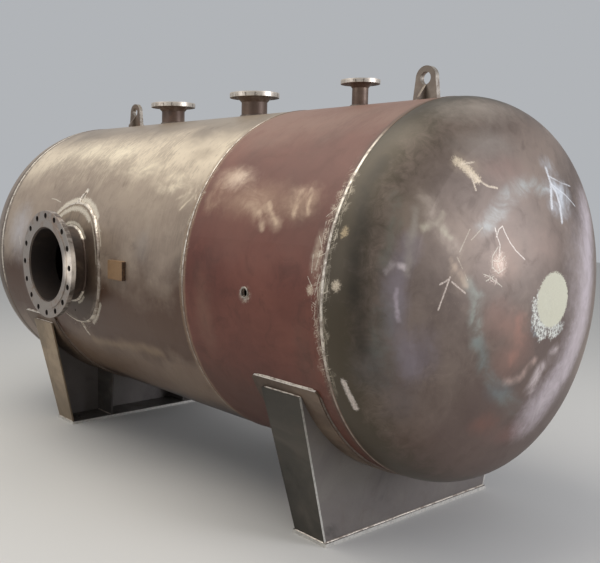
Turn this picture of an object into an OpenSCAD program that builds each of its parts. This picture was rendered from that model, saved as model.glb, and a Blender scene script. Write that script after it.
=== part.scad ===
// Horizontal pressure tank, bare steel, as it stands on the floor of a welding shop.
// A rolled shell of two courses with two dished heads, an open manhole neck on one
// side, three flanged nozzles and two lifting lugs on top, and two plate saddles.
// Lengths are in millimetres. X runs along the tank, the manhole faces -Y and Z is up.
// The origin is at floor level, under the middle of the front saddle's base plate.

/* [Part to draw] */
// name of the one piece to draw, or all

/* [Shell and heads] */
// inside diameter of the shell and heads
shell_bore_d = 1600; // [1500:20:1700]
// wall thickness of the shell and heads
wall = 12; // [10:1:16]
// length of the shell between its two head seams
shell_length = 2850; // [2700:25:3300]
// length of the front course, measured back from the front head seam
front_course = 875; // [750:25:1000]
// front head seam ahead of the front saddle
front_overhang = 275; // [250:5:325]
// rear head seam behind the rear saddle
rear_overhang = 375; // [350:5:425]
// straight part of each head before it curves
head_flange = 25; // [20:5:50]
// diameter of the small raw hole in the side of the front course
side_hole_d = 36; // [20:2:50]
// distance of the small raw hole behind the front head seam
side_hole_back = 435; // [400:5:465]

/* [Weld seams] */
// width of a girth seam at the outside of the wall
seam_width = 16; // [14:1:22]
// height of the bead above the wall
seam_height = 2.5; // [1.5:0.5:4]
// turn of the rear course's long seam away from the top, on the far side
long_seam_turn = 45; // [30:1:55]

/* [Manhole] */
// distance of the manhole axis ahead of the rear head seam
manhole_ahead = 911; // [880:1:950]
// outside diameter of the manhole neck pipe
manhole_neck_od = 406; // [380:2:420]
// wall of the manhole neck pipe
manhole_neck_wall = 8; // [6:1:12]
// flange face ahead of the outside of the shell
manhole_reach = 147; // [135:1:200]
// outside diameter of the manhole flange
manhole_flange_od = 580; // [560:5:600]
// bolt circle of the manhole flange
manhole_pcd = 525; // [515:1:535]
// diameter of the holes in the manhole flange
manhole_hole_d = 30; // [22:1:30]
// thickness of the manhole flange
manhole_flange_t = 32; // [26:1:40]
// outside diameter of the pad around the manhole neck
manhole_pad_od = 650; // [620:5:680]

/* [Top nozzles] */
// flange faces above the outside of the shell
nozzle_reach = 125; // [115:5:180]
// distance of the rear nozzle ahead of the rear head seam
nozzle_rear_ahead = 735; // [700:5:770]
// distance of the middle nozzle behind the middle seam
nozzle_middle_back = 470; // [430:5:510]
// distance of the front nozzle behind the front head seam
nozzle_front_back = 580; // [540:5:615]

/* [Lifting lugs] */
// thickness of a lug plate
lug_t = 25; // [20:1:30]
// width of a lug across its round top
lug_w = 106; // [96:2:120]
// eye diameter of a lug
lug_eye_d = 55; // [40:1:60]
// eye centre above the outside of the shell
lug_eye_h = 95; // [90:1:110]
// front lug behind the front head seam
lug_front_back = 194; // [175:1:215]
// rear lug ahead of the rear head seam
lug_rear_ahead = 314; // [275:1:355]

/* [Saddles] */
// underside of the shell above the floor
saddle_height = 250; // [230:5:300]
// length of a base plate across the tank
base_length = 1140; // [1100:10:1180]
// width of a base plate along the tank
base_width = 200; // [190:5:240]
// thickness of a base plate
base_t = 16; // [12:1:20]
// thickness of the web plate and the ribs
rib_t = 10; // [8:1:14]
// width of a wear plate along the tank
wear_width = 390; // [340:10:420]
// thickness of a wear plate
wear_t = 10; // [8:1:14]
// distance between the anchor bolt holes of a base plate
anchor_spacing = 960; // [930:10:990]
// diameter of an anchor bolt hole
anchor_d = 28; // [22:1:32]

/* [Hidden] */
fn_shell = 240;
fn_neck = 120;
fn_small = 72;
slack = 60;

r_in = shell_bore_d / 2;
r_out = r_in + wall;
axis_z = r_out + saddle_height;
front_seam_x = front_overhang;
rear_seam_x = front_overhang - shell_length;
middle_seam_x = front_overhang - front_course;
rear_saddle_x = rear_seam_x + rear_overhang;
manhole_x = rear_seam_x + manhole_ahead;
nozzle_rear_x = rear_seam_x + nozzle_rear_ahead;
nozzle_middle_x = middle_seam_x - nozzle_middle_back;
nozzle_front_x = front_seam_x - nozzle_front_back;
lug_front_x = front_seam_x - lug_front_back;
lug_rear_x = rear_seam_x + lug_rear_ahead;
side_hole_x = front_seam_x - side_hole_back;

seam_stagger = 45;
segment_gap = 0.05;
rear_cuts = [15, 75, 105, 135, 165, 195, 225, 247.5, 292.5, 315, 345];
front_cuts = [15, 45, 67.5, 112.5, 135, 165, 195, 225, 255, 285, 315, 345];
front_seam_turn = long_seam_turn + seam_stagger;
seam_root = 5;
seam_root_height = 1.5;
seam_cap_inset = 2.5;
seam_cap = seam_width - 2 * seam_cap_inset;
fillet = 9;

head_depth = shell_bore_d / 4;
knuckle_r = 0.17 * shell_bore_d;
crown_r = (r_in * r_in + head_depth * head_depth - 2 * r_in * knuckle_r)
          / (2 * (head_depth - knuckle_r));
knuckle_at = [r_in - knuckle_r, 0];
crown_at = [0, head_depth - crown_r];
tangent_dir = (knuckle_at - crown_at) / norm(knuckle_at - crown_at);

manhole_bore_d = manhole_neck_od - 2 * manhole_neck_wall;
manhole_holes = 16;
manhole_face_y = r_out + manhole_reach;
manhole_raised_gap = 7.5;
manhole_raised_d = manhole_pcd - manhole_hole_d - 2 * manhole_raised_gap;
manhole_raised_h = 4;
manhole_pipe_inset = 8;
manhole_edge = 1.5;
pad_t = wall;
pad_tell_tale_d = 10;

big_pipe = 140;
big_pipe_wall = 7;
big_flange = 270;
big_pcd = 220;
big_hole = 26;
big_thick = 28;
big_raised = 188;
big_hub_h = 24;
big_hub = 184;
small_pipe = 76;
small_pipe_wall = 5;
small_flange = 185;
small_pcd = 145;
small_hole = 18;
small_thick = 22;
small_raised = 122;
small_hub_h = 18;
small_hub = 108;
big = [big_pipe, big_pipe_wall, big_flange, big_pcd, big_hole, big_thick, big_raised,
       big_hub_h, big_hub];
small = [small_pipe, small_pipe_wall, small_flange, small_pcd, small_hole, small_thick,
         small_raised, small_hub_h, small_hub];
PIPE = 0;
PIPE_WALL = 1;
FLANGE = 2;
PCD = 3;
HOLE = 4;
THICK = 5;
RAISED = 6;
HUB_H = 7;
HUB = 8;
nozzle_holes = 8;
raised_h = 3;
flange_edge = 1;

lug_foot_flare = 12;
lug_foot_w = lug_w + 2 * lug_foot_flare;
lug_rib_reach = 45;
lug_rib_t = 12;
lug_rib_toe = 12;
lug_rib_top = lug_eye_h - lug_eye_d / 2 + 14;

side_plate_w = 140;
side_plate_h = 96;
side_plate_t = 20;
side_plate_ahead = 512;
side_plate_x = manhole_x + side_plate_ahead;
side_plate_up = 6;
side_plate_r = 6;
side_plate_sink = 5;

base_margin = 11;
rib_foot_w = base_width - 2 * base_margin;
rib_flare = 50;
rib_head_w = rib_foot_w + rib_flare;
rib_foot_inset = 3;
rib_foot_y = base_length / 2 - rib_foot_inset;
saddle_half_angle = 60;
rib_head_out = 20;
rib_head_up = 12;
rib_head_y = (r_out + wear_t) * sin(saddle_half_angle) + rib_head_out;
rib_head_z = axis_z - (r_out + wear_t) * cos(saddle_half_angle) + rib_head_up;
wear_half_angle = 64.5;
wear_corner_r = 25;
wear_corner_ease = 2;
inner_rib_y = base_length / 4;
anchor_slot = 24;

SHOP_BROWN = [0.47, 0.36, 0.31];
SCALE_GREY = [0.5, 0.46, 0.43];
WELD_SILVER = [0.78, 0.77, 0.74];
MACHINED = [0.72, 0.69, 0.67];
PLATE_GREY = [0.52, 0.52, 0.48];
BARE_TAN = [0.62, 0.5, 0.37];

// Turns a shape drawn around Z so that it lies along the tank axis.
module along_tank(x) {
    translate([x, 0, axis_z])
        rotate([0, 90, 0])
            children();
}

// Turns a shape drawn upwards so that it leaves the tank axis towards the manhole side.
module towards_side(x) {
    translate([x, 0, axis_z])
        rotate([90, 0, 0])
            children();
}

module tank_cylinder(r, x_from, x_to) {
    along_tank(x_from)
        cylinder(h = x_to - x_from, r = r, $fn = fn_shell);
}

// A layer of the given thickness that follows the outside of the shell.
module shell_layer(r_from, r_to, x_from, x_to) {
    difference() {
        tank_cylinder(r_to, x_from, x_to);
        tank_cylinder(r_from, x_from - 1, x_to + 1);
    }
}

module ring(r_from, r_to, h_from, h_to, fn) {
    translate([0, 0, h_from])
        difference() {
            cylinder(h = h_to - h_from, r = r_to, $fn = fn);
            translate([0, 0, -1])
                cylinder(h = h_to - h_from + 2, r = r_from, $fn = fn);
        }
}

// Half section of a girth weld: it fills the groove and stands proud on both sides.
module girth_weld(x, tint) {
    color(tint)
        along_tank(x)
            rotate_extrude($fn = fn_shell)
                polygon([[r_in - seam_root_height, -seam_root / 2],
                         [r_out, -seam_width / 2],
                         [r_out + seam_height, -seam_cap / 2],
                         [r_out + seam_height, seam_cap / 2],
                         [r_out, seam_width / 2],
                         [r_in - seam_root_height, seam_root / 2]]);
}

// Groove angle carries on to the root, so the plate edge follows the weld.
function groove_half(r) = seam_root / 2 + (seam_width - seam_root) / 2
    * (r - r_in + seam_root_height) / (wall + seam_root_height);

module course_ring(x_from, x_to) {
    along_tank(0)
        rotate_extrude($fn = fn_shell)
            polygon([[r_in, x_from + groove_half(r_in)],
                     [r_out, x_from + groove_half(r_out)],
                     [r_out, x_to - groove_half(r_out)],
                     [r_in, x_to - groove_half(r_in)]]);
}

// Section of the long seam, drawn with the radius along Y.
module long_groove(top) {
    polygon([[-seam_root / 2, r_in - seam_root_height],
             [-seam_width / 2, r_out],
             [-seam_cap / 2, r_out + top],
             [seam_cap / 2, r_out + top],
             [seam_width / 2, r_out],
             [seam_root / 2, r_in - seam_root_height]]);
}

module long_bar(turn, x_from, x_to, top) {
    translate([x_from, 0, axis_z])
        rotate([-turn, 0, 0])
            rotate([90, 0, 90])
                linear_extrude(height = x_to - x_from)
                    long_groove(top);
}

module long_weld(turn, x_from, x_to) {
    color(WELD_SILVER)
        difference() {
            long_bar(turn, x_from, x_to, seam_height);
            girth_weld(x_from, WELD_SILVER);
            girth_weld(x_to, WELD_SILVER);
        }
}

// The round wall is in segments that meet along hairlines, so each one is nearly flat.
// Turns are counted from the top towards the far side, as for the long seams.
module segment_cuts(turns, x_from, x_to) {
    for (turn = turns)
        translate([x_from, 0, axis_z])
            rotate([-turn, 0, 0])
                translate([0, -segment_gap / 2, r_in - 2])
                    cube([x_to - x_from, segment_gap, wall + 4]);
}

module nozzle_hole(x, spec) {
    translate([x, 0, axis_z])
        cylinder(h = r_out + slack, r = spec[PIPE] / 2, $fn = fn_neck);
}

module shell_course_rear() {
    color(SCALE_GREY)
        difference() {
            course_ring(rear_seam_x, middle_seam_x);
            long_bar(long_seam_turn, rear_seam_x - 1, middle_seam_x + 1, slack);
            segment_cuts(rear_cuts, rear_seam_x - 1, middle_seam_x + 1);
            towards_side(manhole_x)
                cylinder(h = r_out + slack, r = manhole_neck_od / 2, $fn = fn_neck);
            nozzle_hole(nozzle_rear_x, big);
            nozzle_hole(nozzle_middle_x, big);
        }
}

module shell_course_front() {
    color(SHOP_BROWN)
        difference() {
            course_ring(middle_seam_x, front_seam_x);
            long_bar(front_seam_turn, middle_seam_x - 1, front_seam_x + 1, slack);
            segment_cuts(front_cuts, middle_seam_x - 1, front_seam_x + 1);
            nozzle_hole(nozzle_front_x, small);
            towards_side(side_hole_x)
                cylinder(h = r_out + slack, d = side_hole_d, $fn = fn_small);
        }
}

// Part of a circle band between the tank axis and the tangent point.
module crown_band() {
    intersection() {
        translate(crown_at)
            difference() {
                circle(r = crown_r + wall, $fn = fn_shell);
                circle(r = crown_r, $fn = fn_shell);
            }
        polygon([crown_at,
                 crown_at + [0, 1.4 * crown_r],
                 crown_at + 1.4 * crown_r * tangent_dir]);
    }
}

module knuckle_band() {
    reach = 1.7 * (knuckle_r + wall);
    intersection() {
        translate(knuckle_at)
            difference() {
                circle(r = knuckle_r + wall, $fn = fn_neck);
                circle(r = knuckle_r, $fn = fn_neck);
            }
        polygon([knuckle_at,
                 knuckle_at + [reach, 0],
                 knuckle_at + [reach, reach],
                 knuckle_at + reach * tangent_dir]);
    }
}

// Dished head of crown and knuckle arcs, which together are close to a 2:1 ellipse.
module head() {
    rotate_extrude($fn = fn_shell)
        union() {
            polygon([[r_in, groove_half(r_in)],
                     [r_out, groove_half(r_out)],
                     [r_out, head_flange],
                     [r_in, head_flange]]);
            translate([0, head_flange]) {
                crown_band();
                knuckle_band();
            }
        }
}

module head_front() {
    color(SHOP_BROWN)
        along_tank(front_seam_x)
            head();
}

module head_rear() {
    color(SCALE_GREY)
        translate([rear_seam_x, 0, axis_z])
            rotate([0, -90, 0])
                head();
}

// Pad rolled to the shell, with the small tapped hole that such pads have.
module manhole_pad() {
    color(SCALE_GREY)
        difference() {
            intersection() {
                shell_layer(r_out, r_out + pad_t,
                            manhole_x - manhole_pad_od, manhole_x + manhole_pad_od);
                towards_side(manhole_x)
                    cylinder(h = r_out + slack, d = manhole_pad_od, $fn = fn_neck);
            }
            towards_side(manhole_x)
                cylinder(h = r_out + slack + 1, d = manhole_neck_od, $fn = fn_neck);
            translate([manhole_x, 0, axis_z])
                rotate([90, 0, 0])
                    translate([0, -(manhole_pad_od + manhole_neck_od) / 4, 0])
                        cylinder(h = r_out + slack, d = pad_tell_tale_d, $fn = fn_small);
        }
}

// A fillet around a round neck or pad, kept to the curve of the layer it stands on.
module saddle_fillet(r, layer_r) {
    intersection() {
        shell_layer(layer_r, layer_r + fillet, -r - 2 * fillet, r + 2 * fillet);
        translate([0, 0, axis_z])
            children();
    }
}

module manhole_fillet(r, layer_r) {
    color(WELD_SILVER)
        translate([manhole_x, 0, 0])
            saddle_fillet(r, layer_r)
                rotate([90, 0, 0])
                    ring(r, r + fillet, 0, r_out + slack, fn_neck);
}

module manhole_pad_weld() {
    manhole_fillet(manhole_pad_od / 2, r_out);
}

module manhole_neck_weld() {
    manhole_fillet(manhole_neck_od / 2, r_out + pad_t);
}

// The pipe passes through the pad and the shell and is trimmed to the inside curve.
module manhole_neck() {
    color(SCALE_GREY)
        difference() {
            towards_side(manhole_x)
                ring(manhole_bore_d / 2, manhole_neck_od / 2, r_in / 2,
                     manhole_face_y - manhole_pipe_inset, fn_neck);
            tank_cylinder(r_in, manhole_x - manhole_neck_od,
                          manhole_x + manhole_neck_od);
        }
}

module bolt_holes(count, pcd, d, h) {
    for (i = [0 : count - 1])
        rotate([0, 0, i * 360 / count])
            translate([pcd / 2, 0, -1])
                cylinder(h = h + 2, d = d, $fn = fn_small);
}

module manhole_flange() {
    color(MACHINED)
        towards_side(manhole_x)
            translate([0, 0, manhole_face_y - manhole_flange_t])
                difference() {
                    rotate_extrude($fn = fn_neck)
                        polygon([[manhole_neck_od / 2, 0],
                                 [manhole_flange_od / 2 - manhole_edge, 0],
                                 [manhole_flange_od / 2, manhole_edge],
                                 [manhole_flange_od / 2,
                                  manhole_flange_t - manhole_raised_h - manhole_edge],
                                 [manhole_flange_od / 2 - manhole_edge,
                                  manhole_flange_t - manhole_raised_h],
                                 [manhole_raised_d / 2, manhole_flange_t - manhole_raised_h],
                                 [manhole_raised_d / 2, manhole_flange_t],
                                 [manhole_neck_od / 2, manhole_flange_t]]);
                    bolt_holes(manhole_holes, manhole_pcd, manhole_hole_d, manhole_flange_t);
                }
}

module nozzle_neck(x, spec) {
    color(SHOP_BROWN)
        difference() {
            translate([x, 0, axis_z])
                ring(spec[PIPE] / 2 - spec[PIPE_WALL], spec[PIPE] / 2, r_in / 2,
                     r_out + nozzle_reach - spec[THICK] - spec[HUB_H], fn_neck);
            tank_cylinder(r_in, x - spec[PIPE], x + spec[PIPE]);
        }
}

// Welding-neck flange: disc, raised face and a short hub down to the pipe.
module nozzle_flange(x, spec) {
    bore_r = spec[PIPE] / 2 - spec[PIPE_WALL];
    color(MACHINED)
        translate([x, 0, axis_z + r_out + nozzle_reach - spec[THICK]])
            difference() {
                rotate_extrude($fn = fn_neck)
                    polygon([[bore_r, -spec[HUB_H]],
                             [spec[PIPE] / 2, -spec[HUB_H]],
                             [spec[HUB] / 2, 0],
                             [spec[FLANGE] / 2 - flange_edge, 0],
                             [spec[FLANGE] / 2, flange_edge],
                             [spec[FLANGE] / 2, spec[THICK] - raised_h],
                             [spec[RAISED] / 2, spec[THICK] - raised_h],
                             [spec[RAISED] / 2, spec[THICK]],
                             [bore_r, spec[THICK]]]);
                rotate([0, 0, 180 / nozzle_holes])
                    bolt_holes(nozzle_holes, spec[PCD], spec[HOLE], spec[THICK]);
            }
}

module nozzle_fillet(x, spec) {
    translate([x, 0, 0])
        saddle_fillet(spec[PIPE] / 2, r_out)
            ring(spec[PIPE] / 2, spec[PIPE] / 2 + fillet, 0, r_out + slack, fn_neck);
}

module nozzle_welds() {
    color(WELD_SILVER) {
        nozzle_fillet(nozzle_rear_x, big);
        nozzle_fillet(nozzle_middle_x, big);
        nozzle_fillet(nozzle_front_x, small);
    }
}

module lug_outline() {
    difference() {
        union() {
            translate([0, lug_eye_h])
                circle(d = lug_w, $fn = fn_small);
            polygon([[-lug_foot_w / 2, -slack],
                     [lug_foot_w / 2, -slack],
                     [lug_foot_w / 2, 0],
                     [lug_w / 2, lug_eye_h],
                     [-lug_w / 2, lug_eye_h],
                     [-lug_foot_w / 2, 0]]);
        }
        translate([0, lug_eye_h])
            circle(d = lug_eye_d, $fn = fn_small);
    }
}

// Eye plate along the tank with a stiffener on each face, cut to the shell below.
module lug(x) {
    color(PLATE_GREY)
        difference() {
            translate([x, 0, axis_z + r_out])
                union() {
                    rotate([90, 0, 0])
                        translate([0, 0, -lug_t / 2])
                            linear_extrude(height = lug_t)
                                lug_outline();
                    rotate([90, 0, 90])
                        translate([0, 0, -lug_rib_t / 2])
                            linear_extrude(height = lug_rib_t)
                                polygon([[-lug_t / 2 - lug_rib_reach, -slack],
                                         [lug_t / 2 + lug_rib_reach, -slack],
                                         [lug_t / 2 + lug_rib_reach, lug_rib_toe],
                                         [0, lug_rib_top],
                                         [-lug_t / 2 - lug_rib_reach, lug_rib_toe]]);
                }
            tank_cylinder(r_out, x - lug_foot_w, x + lug_foot_w);
            towards_eye(x);
        }
}

module towards_eye(x) {
    translate([x, lug_t / 2 + lug_rib_reach + 1, axis_z + r_out + lug_eye_h])
        rotate([90, 0, 0])
            cylinder(h = lug_t + 2 * lug_rib_reach + 2, d = lug_eye_d, $fn = fn_small);
}

// Flat bare plate that stands on the shell beside the manhole.
module side_plate() {
    color(BARE_TAN)
        difference() {
            translate([side_plate_x, -r_out - side_plate_t, axis_z + side_plate_up])
                rotate([-90, 0, 0])
                    linear_extrude(height = side_plate_t + side_plate_sink)
                        difference() {
                            square([side_plate_w, side_plate_h], center = true);
                            for (sx = [-1, 1], sz = [-1, 1])
                                translate([sx * side_plate_w / 2, sz * side_plate_h / 2])
                                    difference() {
                                        square(2 * side_plate_r, center = true);
                                        translate([-sx * side_plate_r, -sz * side_plate_r])
                                            circle(r = side_plate_r, $fn = fn_small);
                                    }
                        }
            tank_cylinder(r_out, side_plate_x - side_plate_w, side_plate_x + side_plate_w);
        }
}

// Each saddle is drawn at the origin with its open side towards -X.
module place_front() {
    children();
}

module place_rear() {
    translate([rear_saddle_x, 0, 0])
        mirror([1, 0, 0])
            children();
}

// Rolled wear plate with rounded corners.
module wear_plate() {
    r_mid = r_out + wear_t;
    color(PLATE_GREY)
        difference() {
            intersection() {
                shell_layer(r_out, r_mid, -wear_width / 2, wear_width / 2);
                translate([0, 0, axis_z])
                    rotate([90, 0, 90])
                        translate([0, 0, -wear_width])
                            linear_extrude(height = 2 * wear_width)
                                polygon([[0, 0],
                                         [-2 * r_mid * sin(wear_half_angle),
                                          -2 * r_mid * cos(wear_half_angle)],
                                         [0, -3 * r_mid],
                                         [2 * r_mid * sin(wear_half_angle),
                                          -2 * r_mid * cos(wear_half_angle)]]);
            }
            for (side = [-1, 1], end = [-1, 1])
                translate([0, 0, axis_z])
                    rotate([side * (wear_half_angle - 90), 0, 0])
                        translate([end * wear_width / 2, side * r_out, 0])
                            rotate([90, 0, 0])
                                translate([0, 0, -slack])
                                    linear_extrude(height = 2 * slack)
                                        corner_cut(end);
        }
}

// Cuts a square corner round; the plate lies towards -end along X and below. The arc
// meets both edges at a slight angle, as a torch-cut corner does.
module corner_cut(end) {
    difference() {
        square(2 * wear_corner_r, center = true);
        translate([-end * (wear_corner_r - wear_corner_ease), wear_corner_ease - wear_corner_r])
            circle(r = wear_corner_r, $fn = fn_small);
    }
}

rib_lean = atan2(rib_head_y - rib_foot_y, rib_head_z - base_t);

// Upright that leans outwards on one side, drawn with its foot on the base plate.
module rib_side_cut(side, inset, x_from, x_to) {
    translate([0, side * (rib_foot_y - inset), base_t])
        rotate([-side * rib_lean, 0, 0])
            translate([x_from, side > 0 ? 0 : -4 * slack, -4 * slack])
                cube([x_to - x_from, 4 * slack, rib_head_z + 8 * slack]);
}

// The web fills the space between the end ribs, under the wear plate.
module web() {
    color(PLATE_GREY)
        difference() {
            translate([rib_foot_w / 2 - rib_t, -rib_head_y, base_t])
                cube([rib_t, 2 * rib_head_y, rib_head_z - base_t]);
            tank_cylinder(r_out + wear_t, -wear_width, wear_width);
            for (side = [-1, 1])
                rib_side_cut(side, rib_t / cos(rib_lean), 0, base_width);
        }
}

// Outline of a rib seen along Y: upright at the web, wider towards the shell.
module rib_outline(height) {
    slope = (rib_head_w - rib_foot_w) / (rib_head_z - base_t);
    polygon([[rib_foot_w / 2, 0],
             [rib_foot_w / 2, height],
             [-rib_foot_w / 2 - slope * height, height],
             [-rib_foot_w / 2, 0]]);
}

module end_ribs() {
    color(PLATE_GREY)
        for (side = [-1, 1])
            difference() {
                intersection() {
                    translate([0, side * rib_head_y, base_t])
                        rotate([90, 0, 0])
                            translate([0, 0, side > 0 ? -2 * slack : -4 * slack])
                                linear_extrude(height = 6 * slack)
                                    rib_outline(rib_head_z - base_t);
                    difference() {
                        rib_side_cut(side, rib_t / cos(rib_lean), -wear_width, wear_width);
                        rib_side_cut(side, 0, -wear_width - 1, wear_width + 1);
                    }
                }
                tank_cylinder(r_out + wear_t, -wear_width, wear_width);
            }
}

module inner_ribs() {
    color(PLATE_GREY)
        for (side = [-1, 1])
            difference() {
                translate([0, side * inner_rib_y + rib_t / 2, base_t])
                    rotate([90, 0, 0])
                        linear_extrude(height = rib_t)
                            intersection() {
                                rib_outline(rib_head_z - base_t);
                                translate([-wear_width, 0])
                                    square([wear_width + rib_foot_w / 2 - rib_t, rib_head_z]);
                            }
                tank_cylinder(r_out + wear_t, -wear_width, wear_width);
            }
}

module base_plate(slot) {
    color(PLATE_GREY)
        difference() {
            translate([-base_width / 2, -base_length / 2, 0])
                cube([base_width, base_length, base_t]);
            for (side = [-1, 1])
                translate([0, side * anchor_spacing / 2, -1])
                    anchor_hole(slot);
        }
}

// Round on the fixed saddle, a slot along the tank on the sliding one.
module anchor_hole(slot) {
    cylinder(h = base_t + 2, d = anchor_d, $fn = fn_small);
    if (slot > 0)
        for (end = [-1, 1])
            translate([end * slot / 2, 0, 0])
                slot_end(end);
}

module slot_end(end) {
    cylinder(h = base_t + 2, d = anchor_d, $fn = fn_small);
    translate([end > 0 ? -anchor_d / 2 : 0, -anchor_d / 2, 0])
        cube([anchor_d / 2, anchor_d, base_t + 2]);
}

shell_course_rear();
shell_course_front();
head_rear();
head_front();
girth_weld(rear_seam_x, WELD_SILVER);  // girth_weld_rear
girth_weld(middle_seam_x, WELD_SILVER);  // girth_weld_middle
girth_weld(front_seam_x, WELD_SILVER);  // girth_weld_front
long_weld(long_seam_turn, rear_seam_x, middle_seam_x);  // long_weld_rear
long_weld(front_seam_turn, middle_seam_x, front_seam_x);  // long_weld_front
manhole_pad();
manhole_pad_weld();
manhole_neck();
manhole_neck_weld();
manhole_flange();
nozzle_neck(nozzle_rear_x, big);  // nozzle_rear_neck
nozzle_flange(nozzle_rear_x, big);  // nozzle_rear_flange
nozzle_neck(nozzle_middle_x, big);  // nozzle_middle_neck
nozzle_flange(nozzle_middle_x, big);  // nozzle_middle_flange
nozzle_neck(nozzle_front_x, small);  // nozzle_front_neck
nozzle_flange(nozzle_front_x, small);  // nozzle_front_flange
nozzle_welds();
lug(lug_rear_x);  // lug_rear
lug(lug_front_x);  // lug_front
side_plate();
place_front() wear_plate();  // saddle_front_wear_plate
place_front() web();  // saddle_front_web
place_front() end_ribs();  // saddle_front_end_ribs
place_front() inner_ribs();  // saddle_front_inner_ribs
place_front() base_plate(0);  // saddle_front_base
place_rear() wear_plate();  // saddle_rear_wear_plate
place_rear() web();  // saddle_rear_web
place_rear() end_ribs();  // saddle_rear_end_ribs
place_rear() inner_ribs();  // saddle_rear_inner_ribs
place_rear() base_plate(anchor_slot);  // saddle_rear_base
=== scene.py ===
"""Looks of the horizontal pressure tank: weld beads, spatter, finishes, floor, light, camera.

The CAD solids are the frame and stay where they are. Weld nodes are replaced by beads with
ripples, every other node keeps its shape and gets a procedural finish. All coordinates are
metres in the frame of the CAD: X along the tank, the manhole towards -Y, Z up.
"""

import logging
import math
from abc import ABC, abstractmethod
from collections.abc import Iterable, Sequence
from dataclasses import dataclass
from enum import Enum
from functools import reduce

import bpy
from mathutils import Matrix, Vector, noise


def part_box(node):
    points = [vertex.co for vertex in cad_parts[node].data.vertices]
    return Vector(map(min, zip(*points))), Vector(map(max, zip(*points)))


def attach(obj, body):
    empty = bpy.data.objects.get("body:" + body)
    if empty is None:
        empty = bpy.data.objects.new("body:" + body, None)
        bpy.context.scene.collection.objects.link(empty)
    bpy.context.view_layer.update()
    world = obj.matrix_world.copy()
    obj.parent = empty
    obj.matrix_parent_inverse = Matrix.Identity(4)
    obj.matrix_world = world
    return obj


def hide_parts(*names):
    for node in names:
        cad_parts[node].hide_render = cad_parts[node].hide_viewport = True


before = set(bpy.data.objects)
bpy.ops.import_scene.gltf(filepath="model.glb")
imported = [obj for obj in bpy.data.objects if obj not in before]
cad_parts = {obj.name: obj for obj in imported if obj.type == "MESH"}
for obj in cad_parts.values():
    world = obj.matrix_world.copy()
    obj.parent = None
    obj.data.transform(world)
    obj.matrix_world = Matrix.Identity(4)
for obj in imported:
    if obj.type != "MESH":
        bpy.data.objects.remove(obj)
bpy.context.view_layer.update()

LOG = logging.getLogger("tank")
MM = 0.001

AHEAD = Vector((1, 0, 0))
FAR_SIDE = Vector((0, 1, 0))
UP = Vector((0, 0, 1))

Tone = tuple[float, float, float]
Place = tuple[float, float, float]
Spot = tuple[float, ...]
Material = bpy.types.Material
Mesh = bpy.types.Mesh
Node = bpy.types.Node
Piece = bpy.types.Object
Socket = bpy.types.NodeSocket
Tree = bpy.types.NodeTree
Feed = Socket | str | float | int | Sequence[float]
Feeds = dict[int | str, Feed]


def mid_x(box: Sequence[Vector]) -> float:
    """Gives the middle of a box along the tank."""
    return sum(corner.x for corner in box) / 2


def half_width(box: Sequence[Vector]) -> float:
    """Gives half a box's size along the tank."""
    return (box[1].x - box[0].x) / 2


def linear(tone: Tone) -> tuple[float, float, float, float]:
    """Turns a tone written in 0 to 255 steps into a linear colour.

    Args:
        tone: Red, green and blue as a screen shows them.

    Returns:
        The same colour as the shaders take it, with full alpha.
    """
    steps = [value / 255 for value in tone]
    flat = [s / 12.92 if s <= 0.04045 else ((s + 0.055) / 1.055) ** 2.4 for s in steps]
    return (flat[0], flat[1], flat[2], 1.0)


@dataclass(frozen=True)
class TankSizes:
    """Sizes that several sub-assemblies share, read from the CAD boxes where they can be."""

    axis_z: float
    r_out: float
    wall: float
    rear_seam: float
    middle_seam: float
    front_seam: float
    pad_t: float
    wear_t: float

    @classmethod
    def from_frame(cls) -> "TankSizes":
        """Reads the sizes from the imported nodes.

        Returns:
            The sizes in metres.
        """
        low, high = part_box("shell_course_front")
        seams = {f"{name}_seam": mid_x(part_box(f"girth_weld_{name}"))
                 for name in ("rear", "middle", "front")}
        return cls(axis_z=(low.z + high.z) / 2, r_out=(high.y - low.y) / 2, wall=12 * MM,
                   pad_t=12 * MM, wear_t=10 * MM, **seams)

    def on_shell(self, x: float, turn: float, lift: float = 0.0) -> Vector:
        """Finds a point of the shell.

        Args:
            x: Place along the tank.
            turn: Degrees from the top towards the manhole side.
            lift: Distance outside the plate.

        Returns:
            The point.
        """
        a = math.radians(turn)
        r = self.r_out + lift
        return Vector((x, -r * math.sin(a), self.axis_z + r * math.cos(a)))

    def outwards(self, point: Vector) -> Vector:
        """Gives the direction from the tank axis to a point."""
        return Vector((0.0, point.y, point.z - self.axis_z)).normalized()


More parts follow.
